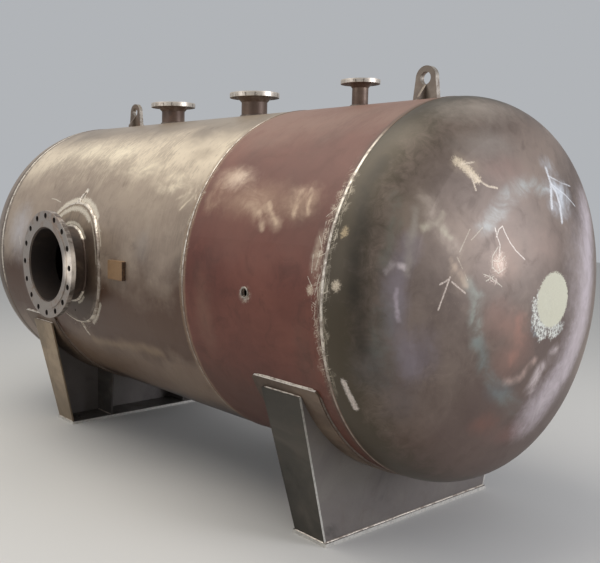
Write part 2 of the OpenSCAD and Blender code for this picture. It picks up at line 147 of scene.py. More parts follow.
class Graph:
    """Writes the nodes of one tree, with short calls for the usual ones."""

    def __init__(self, tree: Tree) -> None:
        """Keeps the tree that the nodes go into."""
        self.tree = tree

    @classmethod
    def opened(cls, kind: str, name: str, takes: dict[str, str],
               gives: dict[str, str]) -> tuple["Graph", Node]:
        """Opens a new node group.

        Args:
            kind: The kind of its tree.
            name: Its name.
            takes: Names of its inputs and what each of them is.
            gives: The same for its outputs.

        Returns:
            The graph and its input node.
        """
        tree = bpy.data.node_groups.new(name, kind)
        for way, sockets in (("INPUT", takes), ("OUTPUT", gives)):
            for label, what in sockets.items():
                tree.interface.new_socket(label, in_out=way, socket_type=f"NodeSocket{what}")
        graph = cls(tree)
        return graph, graph.node("NodeGroupInput")

    def node(self, kind: str, feeds: Feeds | None = None, **settings: object) -> Node:
        """Adds a node.

        Args:
            kind: The node's type name.
            feeds: Outputs to link to its inputs, or constants to set on them.
            settings: Properties to set on it.

        Returns:
            The node.
        """
        made = self.tree.nodes.new(kind)
        for name, value in settings.items():
            setattr(made, name, value)
        for key, value in (feeds or {}).items():
            if isinstance(value, Socket):
                self.tree.links.new(value, made.inputs[key])
            else:
                made.inputs[key].default_value = value
        return made

    def math(self, operation: str, *values: Feed) -> Socket:
        """Adds a Math node with its operation and values."""
        feeds = dict(enumerate(values))
        return self.node("ShaderNodeMath", feeds, operation=operation).outputs[0]

    def times(self, *values: Feed) -> Socket:
        """Multiplies numbers."""
        return reduce(lambda a, b: self.math("MULTIPLY", a, b), values)

    def plus(self, *values: Feed) -> Socket:
        """Adds numbers."""
        return reduce(lambda a, b: self.math("ADD", a, b), values)

    def minus(self, a: Feed, b: Feed) -> Socket:
        """Takes b from a."""
        return self.math("SUBTRACT", a, b)

    def size_of(self, value: Feed) -> Socket:
        """Drops a number's sign."""
        return self.math("ABSOLUTE", value)

    def vector(self, operation: str, a: Feed, b: Feed | None = None) -> Socket:
        """Adds a Vector Math node.

        Args:
            operation: Its operation.
            a: First vector.
            b: Second vector, or the factor of a SCALE.

        Returns:
            The vector, or the number of a LENGTH or DOT_PRODUCT.
        """
        second = {} if b is None else {"Scale" if operation == "SCALE" else 1: b}
        made = self.node("ShaderNodeVectorMath", {0: a, **second}, operation=operation)
        single = operation in ("LENGTH", "DOT_PRODUCT")
        return made.outputs["Value" if single else "Vector"]

    def join(self, x: Feed, y: Feed, z: Feed) -> Socket:
        """Makes a vector of three numbers."""
        return self.node("ShaderNodeCombineXYZ", {0: x, 1: y, 2: z}).outputs[0]

    def split(self, vector: Socket) -> tuple[Socket, ...]:
        """Gives a vector's three numbers."""
        return tuple(self.node("ShaderNodeSeparateXYZ", {0: vector}).outputs)

    def spread(self, value: Feed, low: Feed, high: Feed, to_low: float = 0.0,
               to_high: float = 1.0) -> Socket:
        """Maps a range smoothly to another and holds it there.

        Args:
            value: The number to map.
            low: Where the result is to_low.
            high: Where the result is to_high.
            to_low: Result at low.
            to_high: Result at high.

        Returns:
            The mapped number.
        """
        feeds = {"Value": value, "From Min": low, "From Max": high, "To Min": to_low,
                 "To Max": to_high}
        return self.node("ShaderNodeMapRange", feeds, interpolation_type="SMOOTHSTEP",
                         clamp=False).outputs["Result"]

    def cloud(self, vector: Socket, scale: float, detail: float = 3.0,
              roughness: float = 0.55, bend: float = 0.0) -> Socket:
        """Adds a noise texture.

        Args:
            vector: Where it is read.
            scale: Its scale.
            detail: Its finer levels.
            roughness: Share of the finer levels.
            bend: Its distortion.

        Returns:
            The noise, near 0.5 on average.
        """
        feeds = {"Vector": vector, "Scale": scale, "Detail": detail, "Roughness": roughness,
                 "Distortion": bend}
        return self.node("ShaderNodeTexNoise", feeds).outputs["Fac"]

    def blend(self, factor: Feed, a: Feed, b: Feed) -> Socket:
        """Mixes two colours; 0 gives a, 1 gives b."""
        return self.node("ShaderNodeMix", {0: factor, 6: a, 7: b}, data_type="RGBA").outputs[2]

    def between(self, factor: Feed, a: Feed, b: Feed) -> Socket:
        """Mixes two numbers; 0 gives a, 1 gives b."""
        return self.node("ShaderNodeMix", {0: factor, 2: a, 3: b}, data_type="FLOAT").outputs[0]


class Skin(Graph):
    """A material under way: its colour, roughness, metal share and relief grow step by step."""

    def __init__(self, name: str, tone: Tone, roughness: float, metal: float) -> None:
        """Starts a material.

        Args:
            name: Its name.
            tone: Its first colour, in 0 to 255 steps.
            roughness: Its first roughness.
            metal: Its first metal share.
        """
        self.material = bpy.data.materials.new(name)
        self.material.use_nodes = True
        super().__init__(self.material.node_tree)
        self.tree.nodes.clear()
        self.here = self.node("ShaderNodeTexCoord").outputs["Object"]
        self.colour: Feed = linear(tone)
        self.roughness: Feed = roughness
        self.metal: Feed = metal
        self.relief: list[Socket] = []

    def lay(self, mask: Feed, tone: Tone | None = None, roughness: float | None = None,
            metal: float | None = None) -> None:
        """Lays another look over the one so far.

        Args:
            mask: Where it lies, 0 to 1.
            tone: Its colour, or None to keep the one below.
            roughness: Its roughness, or None to keep the one below.
            metal: Its metal share, or None to keep the one below.
        """
        if tone is not None:
            self.colour = self.blend(mask, self.colour, linear(tone))
        if roughness is not None:
            self.roughness = self.between(mask, self.roughness, roughness)
        if metal is not None:
            self.metal = self.between(mask, self.metal, metal)

    def raise_by(self, height: Socket, millimetres: float) -> None:
        """Adds relief from 0 to 1, with its height at 1."""
        self.relief.append(self.times(height, millimetres))

    def grain(self, *numbers: float) -> Socket:
        """Adds a noise over the whole piece, with cloud's numbers."""
        return self.cloud(self.here, *numbers)

    def window(self, turn: Socket, turns: tuple[float, float], soft: float) -> Socket:
        """Gives 1 between two turns in degrees and 0 outside them.

        Args:
            turn: Angle from the top in radians.
            turns: Where the window starts and stops.
            soft: Width of its edges in radians.

        Returns:
            The mask.
        """
        start, stop = (math.radians(item) for item in turns)
        return self.times(self.spread(turn, start, start + soft),
                          self.spread(turn, stop, stop - soft))

    def reach(self, offset: Socket, upright: bool) -> Socket:
        """Gives the length of an offset from an axis along Z if upright, or else along Y."""
        flat = (1.0, 1.0, 0.0) if upright else (1.0, 0.0, 1.0)
        return self.vector("LENGTH", self.vector("MULTIPLY", offset, flat))

    def finish(self) -> Material:
        """Joins everything to the shader.

        Returns:
            The finished material.
        """
        shader = self.node("ShaderNodeBsdfPrincipled", {
            "Base Color": self.colour, "Roughness": self.roughness, "Metallic": self.metal})
        if self.relief:
            feeds = {"Distance": MM, "Height": self.plus(*self.relief)}
            bump = self.node("ShaderNodeBump", feeds)
            self.tree.links.new(bump.outputs["Normal"], shader.inputs["Normal"])
        self.node("ShaderNodeOutputMaterial", {"Surface": shader.outputs["BSDF"]})
        return self.material


class MarkKind(Enum):
    """What made a mark on the plate; soft tone-or-light marks and some smears are painted light
    instead: painted shadows, sheens, reflections and glints.
    """

    CHALK = "chalk"
    GROUND = "ground"
    SCRIBBLE = "scribble"
    SMEAR = "smear"
    HAZE = "haze"
    PAINT = "paint"
    SCRATCH = "scratch"


@dataclass(frozen=True)
class MarkLook:
    """How a kind of mark looks: colour, gloss, edge and how broken it is.

    A kind without gloss only changes the plate's colour and leaves its shine as it is; that colour
    is a stain on some marks and painted light on others.
    """

    tone: Tone
    gloss: tuple[float, float] | None
    softness: float
    ragged: float
    broken: float
    wispy: float = 0.0
    fine: bool = True
    curly: bool = False


SMEAR, HAZE, CHALK = MarkKind.SMEAR, MarkKind.HAZE, MarkKind.CHALK
GROUND, SCRIBBLE = MarkKind.GROUND, MarkKind.SCRIBBLE
PAINT, SCRATCH = MarkKind.PAINT, MarkKind.SCRATCH

MARK_LOOKS = {
    CHALK: MarkLook((206, 208, 200), (0.8, 0.0), 0.25, 0.8, 0.9, fine=False),
    GROUND: MarkLook((218, 208, 190), (0.45, 0.25), 0.7, 0.9, 0.35),
    SCRIBBLE: MarkLook((228, 208, 194), (0.6, 0.1), 0.8, 0.9, 0.4, 0.6, curly=True),
    SMEAR: MarkLook((168, 143, 120), None, 1.0, 0.3, 0.15, 0.85, False),
    HAZE: MarkLook((120, 112, 106), None, 1.0, 0.3, 0.0, 0.3, False),
    PAINT: MarkLook((195, 192, 171), (0.7, 0.0), 0.07, 0.2, 0.08),
    SCRATCH: MarkLook((214, 206, 190), (0.6, 0.2), 0.7, 0.7, 0.55),
}


@dataclass(frozen=True)
class Mark:
    """A mark on a plate, made of runs of points.

    A run of one point is an oval blot with the three half sizes, a run of several is a line
    with the first half size as half its width. cover is how much of the plate they hide,
    and tone is None for the kind's own.
    """

    kind: MarkKind
    size: Place
    cover: float
    tone: Tone | None
    runs: tuple[tuple[Place, ...], ...]


SIZES = TankSizes.from_frame()
MANHOLE_X = mid_x(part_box("manhole_neck"))
PAD_T = SIZES.pad_t


def spot(place: Spot) -> Place:
    """Finds the place of a mark.

    Args:
        place: Its three coordinates in millimetres or, on the shell, its millimetres along
            the tank and its degrees from the top towards the manhole side.

    Returns:
        The place in metres.
    """
    if len(place) == 2:
        return tuple(SIZES.on_shell(place[0] * MM, place[1]))
    return tuple(item * MM for item in place)


def blot(kind: MarkKind, centre: Spot, size: Spot, cover: float = 1.0,
         tone: Tone | None = None, *more: Spot) -> Mark:
    """Makes oval blots of one look, the first at centre, with half sizes in millimetres."""
    return Mark(kind, spot(size), cover, tone, tuple((spot(item),) for item in (centre, *more)))


def lines(kind: MarkKind, width: float, cover: float, tone: Tone | None,
          *runs: Sequence[Spot]) -> Mark:
    """Makes lines of one look through runs of places; width is half theirs, in millimetres."""
    return Mark(kind, (width * MM,) * 3, cover, tone,
                tuple(tuple(spot(item) for item in run) for run in runs))


def pad_arc(kind: MarkKind, radius: float, start: float, stop: float, width: float,
            cover: float, lift: float = 0.0) -> Mark:
    """Makes an arc round the manhole.

    Args:
        kind: What made it.
        radius: Its radius in millimetres.
        start: Degrees from the front towards the top where it starts.
        stop: Degrees where it stops.
        width: Half its width in millimetres.
        cover: How much of the plate it hides.
        lift: Its height above the shell in metres.

    Returns:
        The mark.
    """
    steps = max(2, round(abs(stop - start) / 14))
    points = []
    for i in range(steps + 1):
        a = math.radians(start + (stop - start) * i / steps)
        over = radius * MM * math.sin(a)
        points.append((MANHOLE_X + radius * MM * math.cos(a),
                       -math.sqrt((SIZES.r_out + lift) ** 2 - over ** 2),
                       SIZES.axis_z + over))
    return Mark(kind, (width * MM,) * 3, cover, None, (tuple(points),))


TAN, PALE, UMBER = (184, 156, 130), (214, 198, 174), (80, 60, 50)
TEAL, STREAK = (112, 117, 112), (112, 94, 78)
WHITE, GLINT = (226, 228, 230), (246, 231, 203)

FRONT_MARKS = (
    blot(HAZE, (-220, 62), (360, 100, 140), 0.4, TAN),
    blot(HAZE, (60, 63), (160, 80, 130), 0.45, TAN),
    blot(HAZE, (-430, 54.5), (160, 80, 90), 0.6, (200, 174, 150)),
    blot(SMEAR, (-370, 55), (150, 80, 80), 0.7, (222, 200, 178)),
    blot(SMEAR, (-500, 61), (90, 80, 140), 0.55, TAN),
    blot(SMEAR, (80, 62), (120, 80, 110), 0.5, (194, 165, 140)),
    lines(SMEAR, 50, 0.5, (194, 168, 143), ((-300, 56.5), (-195, 62.4), (-106, 66.1), (-23, 69.8)),
          ((-270, 62.6), (-122, 69.2))),
    lines(SMEAR, 22, 0.6, (206, 180, 154), ((41, 59.5), (55, 66.6)), ((90, 59), (127, 66)),
          ((-120, 63), (-40, 69)), ((-160, 66), (-110, 71))),
    blot(HAZE, (-450, 100), (100, 100, 340), 0.35, (128, 98, 80)),
    blot(HAZE, (170, 106), (90, 120, 340), 0.5, (84, 58, 47)),
    blot(HAZE, (-150, 112), (300, 120, 200), 0.3, (104, 56, 44)),
    blot(GROUND, (-159, 90.6), (34, 30, 34), 0.8),
    blot(GROUND, (214, 86.4), (25, 30, 25), 0.8, PALE),
    blot(SMEAR, (228, 78), (40, 60, 190), 0.55, PALE),
    lines(SCRIBBLE, 18, 0.7, (216, 200, 180), ((256, 58), (248, 70), (236, 80), (236, 90),
          (250, 102))),
    lines(SCRATCH, 2.4, 0.8, None, ((262, 64), (224, 66.6)), ((232, 68), (240, 74)), ((218, 72),
          (246, 75)), ((240, 76), (230, 81)), ((208, 77), (214, 82)), ((258, 82), (240, 87.5)),
          ((196, 83), (222, 85.4)), ((246, 89), (241, 94))),
)

REAR_MARKS = (
    # painted shadow beside the manhole pad: the next two blots
    blot(HAZE, (-1200, 86), (150, 120, 300), 0.5, (100, 84, 72)),
    blot(HAZE, (-1250, 104), (130, 120, 260), 0.5, UMBER),
    blot(HAZE, (-800, 84), (140, 120, 220), 0.4, (164, 146, 130)),
    # painted sheen: this cool grey blot is reflected light
    blot(HAZE, (-950, 80), (100, 120, 120), 0.35, (150, 144, 138)),
    # painted sheen: this silvery blot is reflected light on the left flank
    blot(HAZE, (-2340, 79), (200, 140, 260), 0.7, (190, 186, 188)),
    blot(HAZE, (-2180, 100), (140, 120, 200), 0.5, (150, 145, 146)),
    # painted reflection: a warm light band of the floor low on the flank
    lines(HAZE, 55, 0.5, (154, 132, 106), ((-1617, 122.6), (-1327, 120.9), (-918, 118.3))),
    # painted highlight: the next four smears are glints in the band of reflected light
    blot(SMEAR, (-860, 56), (240, 120, 100), 0.9, GLINT),
    blot(SMEAR, (-1200, 50), (300, 140, 90), 0.8, GLINT),
    blot(SMEAR, (-1560, 41), (260, 160, 90), 0.9, GLINT),
    blot(SMEAR, (-1980, 40), (340, 180, 90), 0.8, GLINT),
    blot(HAZE, (-2200, 58), (220, 160, 120), 0.5, (168, 150, 132)),
    blot(HAZE, (-780, 44), (160, 140, 60), 0.6, (140, 122, 104)),
    blot(SMEAR, (-700, 60), (120, 100, 140), 0.6, PALE),
    lines(SMEAR, 12, 1, PALE, ((-837, 57.6), (-667, 60.8)), ((-700, 52), (-630, 63)),
          ((-780, 63.5), (-650, 57.5)), ((-710, 67), (-635, 60))),
    lines(HAZE, 18, 0.5, STREAK, ((-2300, 30), (-2050, 60)), ((-1900, 26), (-1720, 56)),
          ((-1450, 28), (-1300, 58)), ((-1120, 30), (-1020, 52)), ((-980, 26), (-800, 50))),
    lines(SCRATCH, 4, 0.9, None, ((-2027, 64.6), (-1969, 64.9), (-1901, 66)), ((-2330, 82),
          (-2300, 85.5))),
    pad_arc(GROUND, 350, 48, 130, 24, 1),
    pad_arc(GROUND, 343, 20, 48, 12, 0.6),
    pad_arc(GROUND, 350, -66, -34, 15, 0.7),
    lines(GROUND, 24, 1, (232, 224, 210), ((-1679, 66.5), (-1650, 61))),
    lines(GROUND, 12, 0.8, None, ((-1673, 113.6), (-1649, 116.1), (-1644, 119.9))),
)

PAD_MARKS = (
    pad_arc(GROUND, 302, 54, 128, 20, 0.9, PAD_T),
    pad_arc(GROUND, 310, 4, 54, 8, 0.5, PAD_T),
    pad_arc(GROUND, 224, 42, 132, 13, 1, PAD_T),
    pad_arc(GROUND, 224, -72, -50, 10, 0.9, PAD_T),
    blot(HAZE, (-1400, 90), (70, 100, 160), 0.5, (104, 84, 68)),
    blot(HAZE, (-1500, 120), (120, 100, 100), 0.5, (62, 48, 42)),
)

HEAD_MARKS = (
    # broad changes of tone
    blot(HAZE, (510, -600, 1400), (140, 160, 140), 0.5, (148, 132, 114)),
    blot(HAZE, (610, -450, 1320), (120, 140, 160), 0.5, (148, 130, 114)),
    blot(HAZE, (600, -200, 1570), (120, 200, 90), 0.5, (142, 114, 103)),
    blot(HAZE, (550, -250, 1660), (120, 240, 100), 0.6, (150, 140, 130)),
    blot(HAZE, (450, -180, 1800), (160, 340, 100), 0.75, (168, 156, 144)),
    blot(HAZE, (400, -450, 1700), (100, 200, 120), 0.35, (126, 114, 102)),
    blot(HAZE, (450, -720, 860), (120, 120, 160), 0.6, (88, 86, 86)),
    blot(HAZE, (560, -600, 900), (120, 120, 150), 0.6, (122, 112, 118)),
    lines(HAZE, 70, 0.6, (134, 124, 130), ((535, -643, 1304), (520, -700, 1150), (530, -690, 1000),
          (548, -631, 848))),
    blot(SMEAR, (480, -700, 1000), (80, 100, 300), 0.6, (112, 116, 110)),
    blot(HAZE, (510, -640, 740), (120, 120, 150), 0.5, (104, 95, 95)),
    blot(HAZE, (490, -540, 560), (120, 180, 100), 0.5, (94, 74, 64)),
    blot(HAZE, (600, -80, 530), (120, 200, 80), 0.6, (120, 86, 78)),
    blot(HAZE, (610, -250, 600), (100, 120, 80), 0.6, (124, 84, 72)),
    blot(HAZE, (700, -20, 1280), (80, 200, 140), 0.45, (150, 127, 115)),
    blot(HAZE, (680, -246, 1235), (80, 100, 160), 0.35, (150, 124, 108)),
    lines(HAZE, 120, 0.55, (146, 110, 96), ((679, -304, 1017), (694, -210, 972), (692, -166, 891),
          (677, -239, 859))),
    lines(SMEAR, 50, 0.55, (160, 114, 98), ((699, -182, 1008), (694, -166, 920),
          (684, -200, 860))),
    # painted sheen: reflected light down the far side of the head, the next two marks
    blot(HAZE, (660, 270, 1080), (140, 240, 420), 0.7, (176, 164, 164)),
    lines(HAZE, 170, 0.8, (198, 186, 190), ((600, 430, 1392), (645, 375, 1230), (660, 350, 983),
          (660, 220, 760), (630, 60, 600))),
    lines(SMEAR, 50, 0.8, (206, 192, 190), ((694, 84, 852), (686, -6, 792), (668, -39, 713))),
    lines(SMEAR, 30, 0.7, (186, 160, 148), ((693, -59, 840), (677, -131, 777), (667, -215, 777))),
    # grey-green ring of hand marks
    lines(SMEAR, 60, 0.8, (164, 168, 164), ((646, 25, 1493), (637, -69, 1515), (637, -161, 1491),
          (640, -247, 1436), (635, -361, 1355))),
    lines(SMEAR, 45, 0.9, (146, 152, 142), ((638, -442, 1169), (654, -402, 1105),
          (653, -406, 1023), (652, -391, 938))),
    lines(SMEAR, 55, 0.9, TEAL, ((652, -391, 938), (656, -335, 848), (656, -272, 774),
          (653, -188, 702), (649, -99, 653))),
    blot(HAZE, (655, -230, 735), (90, 120, 70), 0.6, (106, 112, 112)),
    # dark band beside the seam
    lines(HAZE, 60, 0.75, (50, 44, 36), ((370, -614, 1579), (361, -685, 1485), (391, -744, 1346),
          (408, -777, 1210), (421, -785, 1073), (436, -763, 918))),
    # smears of the left half
    lines(SMEAR, 50, 0.7, (172, 157, 143), ((532, -566, 1461), (557, -555, 1400),
          (577, -533, 1354), (613, -478, 1276))),
    lines(SMEAR, 22, 0.9, (178, 168, 148), ((571, -514, 1408), (568, -544, 1373),
          (599, -495, 1321)), ((568, -544, 1373), (549, -595, 1356))),
    lines(SMEAR, 40, 0.7, (112, 112, 100), ((461, -644, 1468), (488, -683, 1346),
          (500, -720, 1230))),
    lines(SMEAR, 30, 0.8, (156, 146, 134), ((521, -606, 1424), (535, -643, 1304),
          (540, -660, 1200))),
    lines(SMEAR, 20, 0.8, (192, 170, 148), ((611, -501, 1234), (622, -479, 1206),
          (637, -453, 1160))),
    blot(SMEAR, (620, -470, 1190), (60, 70, 90), 0.8, (172, 152, 132)),
    blot(HAZE, (515, -700, 1150), (70, 80, 140), 0.45, (146, 134, 138)),
    lines(SMEAR, 19, 1, (204, 190, 188), ((498, -714, 1205), (512, -697, 1228),
          (534, -670, 1219))),
    lines(SMEAR, 15, 0.9, (184, 170, 176), ((522, -699, 1145), (520, -706, 1110),
          (530, -694, 1061), (535, -686, 1025))),
    # ground patches near the top
    blot(SMEAR, (561, -371, 1590), (90, 100, 70), 0.7, (164, 147, 127)),
    lines(GROUND, 26, 0.9, (222, 204, 176), ((545, -408, 1594), (556, -391, 1583),
          (574, -366, 1554), (590, -345, 1530))),
    lines(SCRATCH, 6, 0.8, (222, 206, 184), ((574, -366, 1554), (592, -340, 1526),
          (609, -301, 1505), (619, -259, 1498)), ((574, -366, 1554), (599, -360, 1489)),
          ((556, -391, 1583), (570, -335, 1592))),
    blot(SMEAR, (645, 130, 1470), (90, 150, 130), 1, (204, 208, 213)),
    blot(SMEAR, (610, 100, 1590), (60, 80, 60), 0.8, (186, 190, 194)),
    lines(GROUND, 12, 0.8, WHITE, ((612, 75, 1575), (635, 84, 1517), (644, 110, 1486),
          (657, 121, 1435), (674, 113, 1369)), ((635, 84, 1517), (655, 62, 1470),
          (668, 50, 1424))),
    lines(SCRATCH, 5, 0.7, WHITE, ((635, 84, 1517), (638, 197, 1470), (636, 276, 1430)),
          ((625, 77, 1548), (622, 180, 1520), (613, 269, 1511))),
    # cream patch with its mealy lower edge
    blot(CHALK, (708, -65, 1000), (50, 75, 85), 0.55, (146, 156, 158)),
    blot(CHALK, (708, -78, 1060), (50, 50, 52), 1, (212, 212, 202), (708, -80, 1010),
         (707, -40, 965), (706, 40, 955)),
    blot(PAINT, (709, 20, 1070), (70, 117, 112)),
    blot(CHALK, (707, 75, 950), (50, 60, 30), 0.8, (196, 198, 190)),
    # lines of chalk
    lines(SCRATCH, 3.4, 0.9, (236, 226, 214), ((649, -304, 1353), (656, -300, 1324),
          (664, -290, 1291), (668, -299, 1251)), ((656, -303, 1320), (654, -286, 1349),
          (655, -267, 1359), (662, -259, 1336), (672, -239, 1299), (681, -212, 1267),
          (692, -166, 1234))),
    blot(SMEAR, (670, -300, 1225), (40, 55, 60), 0.8, (206, 180, 162)),
    blot(SCRIBBLE, (670, -302, 1228), (40, 50, 58), 1),
    lines(SCRIBBLE, 18, 1, None, ((660, -365, 1185), (672, -318, 1158))),
    lines(SCRATCH, 3, 0.9, None, ((663, -300, 1284), (660, -330, 1250), (664, -334, 1212),
          (673, -305, 1190), (679, -275, 1205)), ((667, -290, 1262), (669, -310, 1225),
          (674, -296, 1196)), ((674, -270, 1250), (671, -298, 1232), (664, -326, 1236)),
          ((657, -372, 1188), (666, -341, 1176), (681, -290, 1140)), ((661, -363, 1163),
          (669, -327, 1180))),
    lines(SCRATCH, 4.6, 0.9, (216, 200, 186), ((613, -511, 1181), (608, -531, 1132),
          (600, -555, 1065)), ((617, -504, 1164), (626, -481, 1145), (637, -453, 1123)),
          ((599, -549, 1157), (612, -515, 1174))),
    lines(SCRATCH, 3.4, 0.7, (200, 188, 170), ((620, -416, 1350), (620, -437, 1318),
          (618, -467, 1269)), ((635, -361, 1355), (628, -416, 1311)), ((617, -478, 1250),
          (629, -456, 1200), (638, -442, 1169))),
    # spots beside the seam
    lines(GROUND, 17, 0.9, (222, 210, 200), ((347, -759, 782), (358, -733, 728),
          (365, -706, 682))),
    blot(GROUND, (340, -805, 1141), (26, 27, 28), 0.9, PALE),
    blot(GROUND, (334, -764, 1333), (21, 24, 32), 0.85, (182, 162, 128)),
)


@dataclass(frozen=True)
class MarkWear:
    """What a kind of mark is worn by: the warped place, its frayed edge and its gaps."""

    place: Socket
    fray: Socket
    kept: Socket


class MarkGroups:
    """The two node groups that turn a mark's place and size into a mask."""

    def __init__(self) -> None:
        """Builds both groups."""
        self.blot = self._group("blot mask", "Centre")
        self.stroke = self._group("stroke mask", "Start", "End")

    @staticmethod
    def _group(name: str, *ends: str) -> Tree:
        """Builds one group.

        Args:
            name: Its name.
            ends: Its inputs for a blot's centre, or for a stroke's two ends.

        Returns:
            The group.
        """
        takes = dict.fromkeys(("Position", *ends, "Size"), "Vector")
        takes |= {"Fray": "Float", "Softness": "Float"}
        graph, start = Graph.opened("ShaderNodeTree", name, takes, {"Mask": "Float"})
        given = start.outputs
        offset = graph.vector("SUBTRACT", given["Position"], given[ends[0]])
        if len(ends) == 1:
            reach = graph.vector("LENGTH", graph.vector("DIVIDE", offset, given["Size"]))
        else:
            course = graph.vector("SUBTRACT", given["End"], given["Start"])
            share = graph.math("DIVIDE", graph.vector("DOT_PRODUCT", offset, course),
                               graph.vector("DOT_PRODUCT", course, course))
            share = graph.math("MINIMUM", graph.math("MAXIMUM", share, 0.0), 1.0)
            off = graph.vector("SUBTRACT", offset, graph.vector("SCALE", course, share))
            width = graph.split(given["Size"])[0]
            reach = graph.math("DIVIDE", graph.vector("LENGTH", off), width)
        reach = graph.plus(reach, given["Fray"])
        inner = graph.minus(1.0, given["Softness"])
        graph.node("NodeGroupOutput", {"Mask": graph.spread(reach, 1, inner)})
        return graph.tree

    def place(self, skin: Skin, mark: Mark, wear: MarkWear, ends: Sequence[Place]) -> Socket:
        """Places a group for one blot or one stroke of a mark.

        Args:
            skin: The material under way.
            mark: The mark.
            wear: What it is worn by.
            ends: The blot's centre, or the stroke's two ends.

        Returns:
            The mask.
        """
        names, tree = ("Centre",), self.blot
        if len(ends) == 2:
            names, tree = ("Start", "End"), self.stroke
        feeds = {"Position": wear.place, "Fray": wear.fray, "Size": mark.size,
                 "Softness": MARK_LOOKS[mark.kind].softness, **dict(zip(names, ends))}
        return skin.node("ShaderNodeGroup", feeds, node_tree=tree).outputs["Mask"]


MARK_GROUPS = MarkGroups()


class MarkLayer:
    """Lays the marks of one material, each kind with wear of its own."""

    def __init__(self, skin: Skin) -> None:
        """Places the noises that all kinds share.

        Args:
            skin: The material under way.
        """
        self.skin = skin
        self.coarse = skin.grain(34, 6, 0.7, 0.5)
        self.close = skin.grain(120, 4, 0.7, 0.5)
        self.fine = skin.grain(210, 3, 0.6)
        self.mealy = skin.grain(85, 4, 0.7)
        self.wisp = skin.grain(7, 4, 0.55, 1.6)
        sway = skin.node("ShaderNodeTexNoise", {"Vector": skin.here, "Scale": 9.0, "Detail": 3.0})
        self.shift = skin.vector("SUBTRACT", sway.outputs["Color"], (0.5, 0.5, 0.5))
        self.wear: dict[MarkKind, MarkWear] = {}

    def lay(self, mark: Mark) -> None:
        """Lays one mark.

        Args:
            mark: The mark.
        """
        skin = self.skin
        look = MARK_LOOKS[mark.kind]
        if mark.kind not in self.wear:
            self.wear[mark.kind] = self._wear(look)
        wear = self.wear[mark.kind]
        mask = None
        for run in mark.runs:
            for ends in zip(run, run[1:]) if len(run) > 1 else (run,):
                share = MARK_GROUPS.place(skin, mark, wear, ends)
                mask = share if mask is None else skin.math("MAXIMUM", mask, share)
        mask = skin.times(skin.times(mask, wear.kept), mark.cover)
        skin.lay(mask, mark.tone or look.tone, *(look.gloss or ()))

    def _wear(self, look: MarkLook) -> MarkWear:
        """Makes the wear of one kind of mark.

        Args:
            look: The kind's look.

        Returns:
            Its wear.
        """
        skin = self.skin
        warp = skin.vector("SCALE", self.shift, 0.006 if look.fine else 0.05)
        grain = skin.minus(self.close if look.fine else self.coarse, 0.5)
        gaps = self.fine if look.fine else self.mealy
        kept = skin.spread(gaps, 0.4, 0.6, 1 - look.broken, 1)
        if look.curly:
            curl = skin.grain(42, 1.5, 0.5, 0.9)
            away = skin.size_of(skin.minus(curl, 0.5))
            kept = skin.times(kept, skin.spread(away, 0.045, 0.018))
        if look.wispy:
            torn = skin.spread(self.wisp, 0.34, 0.66, 1 - look.wispy, 1)
            kept = skin.times(kept, torn)
        return MarkWear(skin.vector("ADD", skin.here, warp),
                        skin.times(grain, 2.0 * look.ragged), kept)


@dataclass(frozen=True)
class ToneAndLightBand:
    """A band of tone over part of the shell, between four turns from the top; most bands are
    painted light and shade.

    The turns are in degrees: it starts, is full, fades and ends there.
    """

    tone: Tone
    cover: float
    turns: tuple[float, float, float, float]
    flecked: float = 0.0
    roughness: float | None = None


@dataclass(frozen=True)
class SeamZone:
    """Worked steel beside a girth seam: heat tint, and scratches of the grinder."""

    x: float
    tinted: float
    tint: Tone
    tint_cover: float
    scratched: float
    turns: tuple[float, float]
    cover: float


@dataclass(frozen=True)
class RingZone:
    """Scratched steel round the edge of a round pad or hole on the manhole side."""

    x: float
    z: float
    radius: float
    reach: float
    cover: float


WORKED = (204, 192, 172)


class Patch(ABC):
    """Part of a piece that can take another look."""

    @abstractmethod
    def mask(self, skin: Skin) -> Socket:
        """Gives 1 inside the patch and 0 outside it."""


@dataclass(frozen=True)
class EdgePatch(Patch):
    """All that lies farther than a reach from a middle plane, or nearer than it."""

    axis: int
    middle: float
    reach: float
    nearer: bool = False

    def mask(self, skin: Skin) -> Socket:
        """Gives 1 inside the patch and 0 outside it."""
        away = skin.size_of(skin.minus(skin.split(skin.here)[self.axis], self.middle))
        return skin.math("LESS_THAN" if self.nearer else "GREATER_THAN", away, self.reach)


@dataclass(frozen=True)
class TurnPatch(Patch):
    """All of a shell plate beyond a turn from the bottom."""

    axis_z: float
    degrees: float

    def mask(self, skin: Skin) -> Socket:
        """Gives the patch's mask.

        Args:
            skin: The material under way.

        Returns:
            1 inside the patch and 0 outside it.
        """
        _, y, z = skin.split(skin.here)
        turn = skin.size_of(skin.math("ARCTAN2", y, skin.minus(self.axis_z, z)))
        return skin.math("GREATER_THAN", turn, math.radians(self.degrees))


@dataclass(frozen=True)
class RoundPatch(Patch):
    """All that lies outside, or inside, a radius round an axis along Y or Z."""

    centre: Place
    upright: bool
    radius: float
    inside: bool = False

    def mask(self, skin: Skin) -> Socket:
        """Gives 1 inside the patch and 0 outside it."""
        reach = skin.reach(skin.vector("SUBTRACT", skin.here, self.centre), self.upright)
        return skin.math("LESS_THAN" if self.inside else "GREATER_THAN", reach, self.radius)


@dataclass(frozen=True)
class BallPatch(Patch):
    """All within a radius of a point, fading out towards it."""

    centre: Place
    radius: float

    def mask(self, skin: Skin) -> Socket:
        """Gives 1 in the middle of the patch and 0 outside it."""
        reach = skin.vector("LENGTH", skin.vector("SUBTRACT", skin.here, self.centre))
        return skin.spread(reach, self.radius, 0.4 * self.radius)


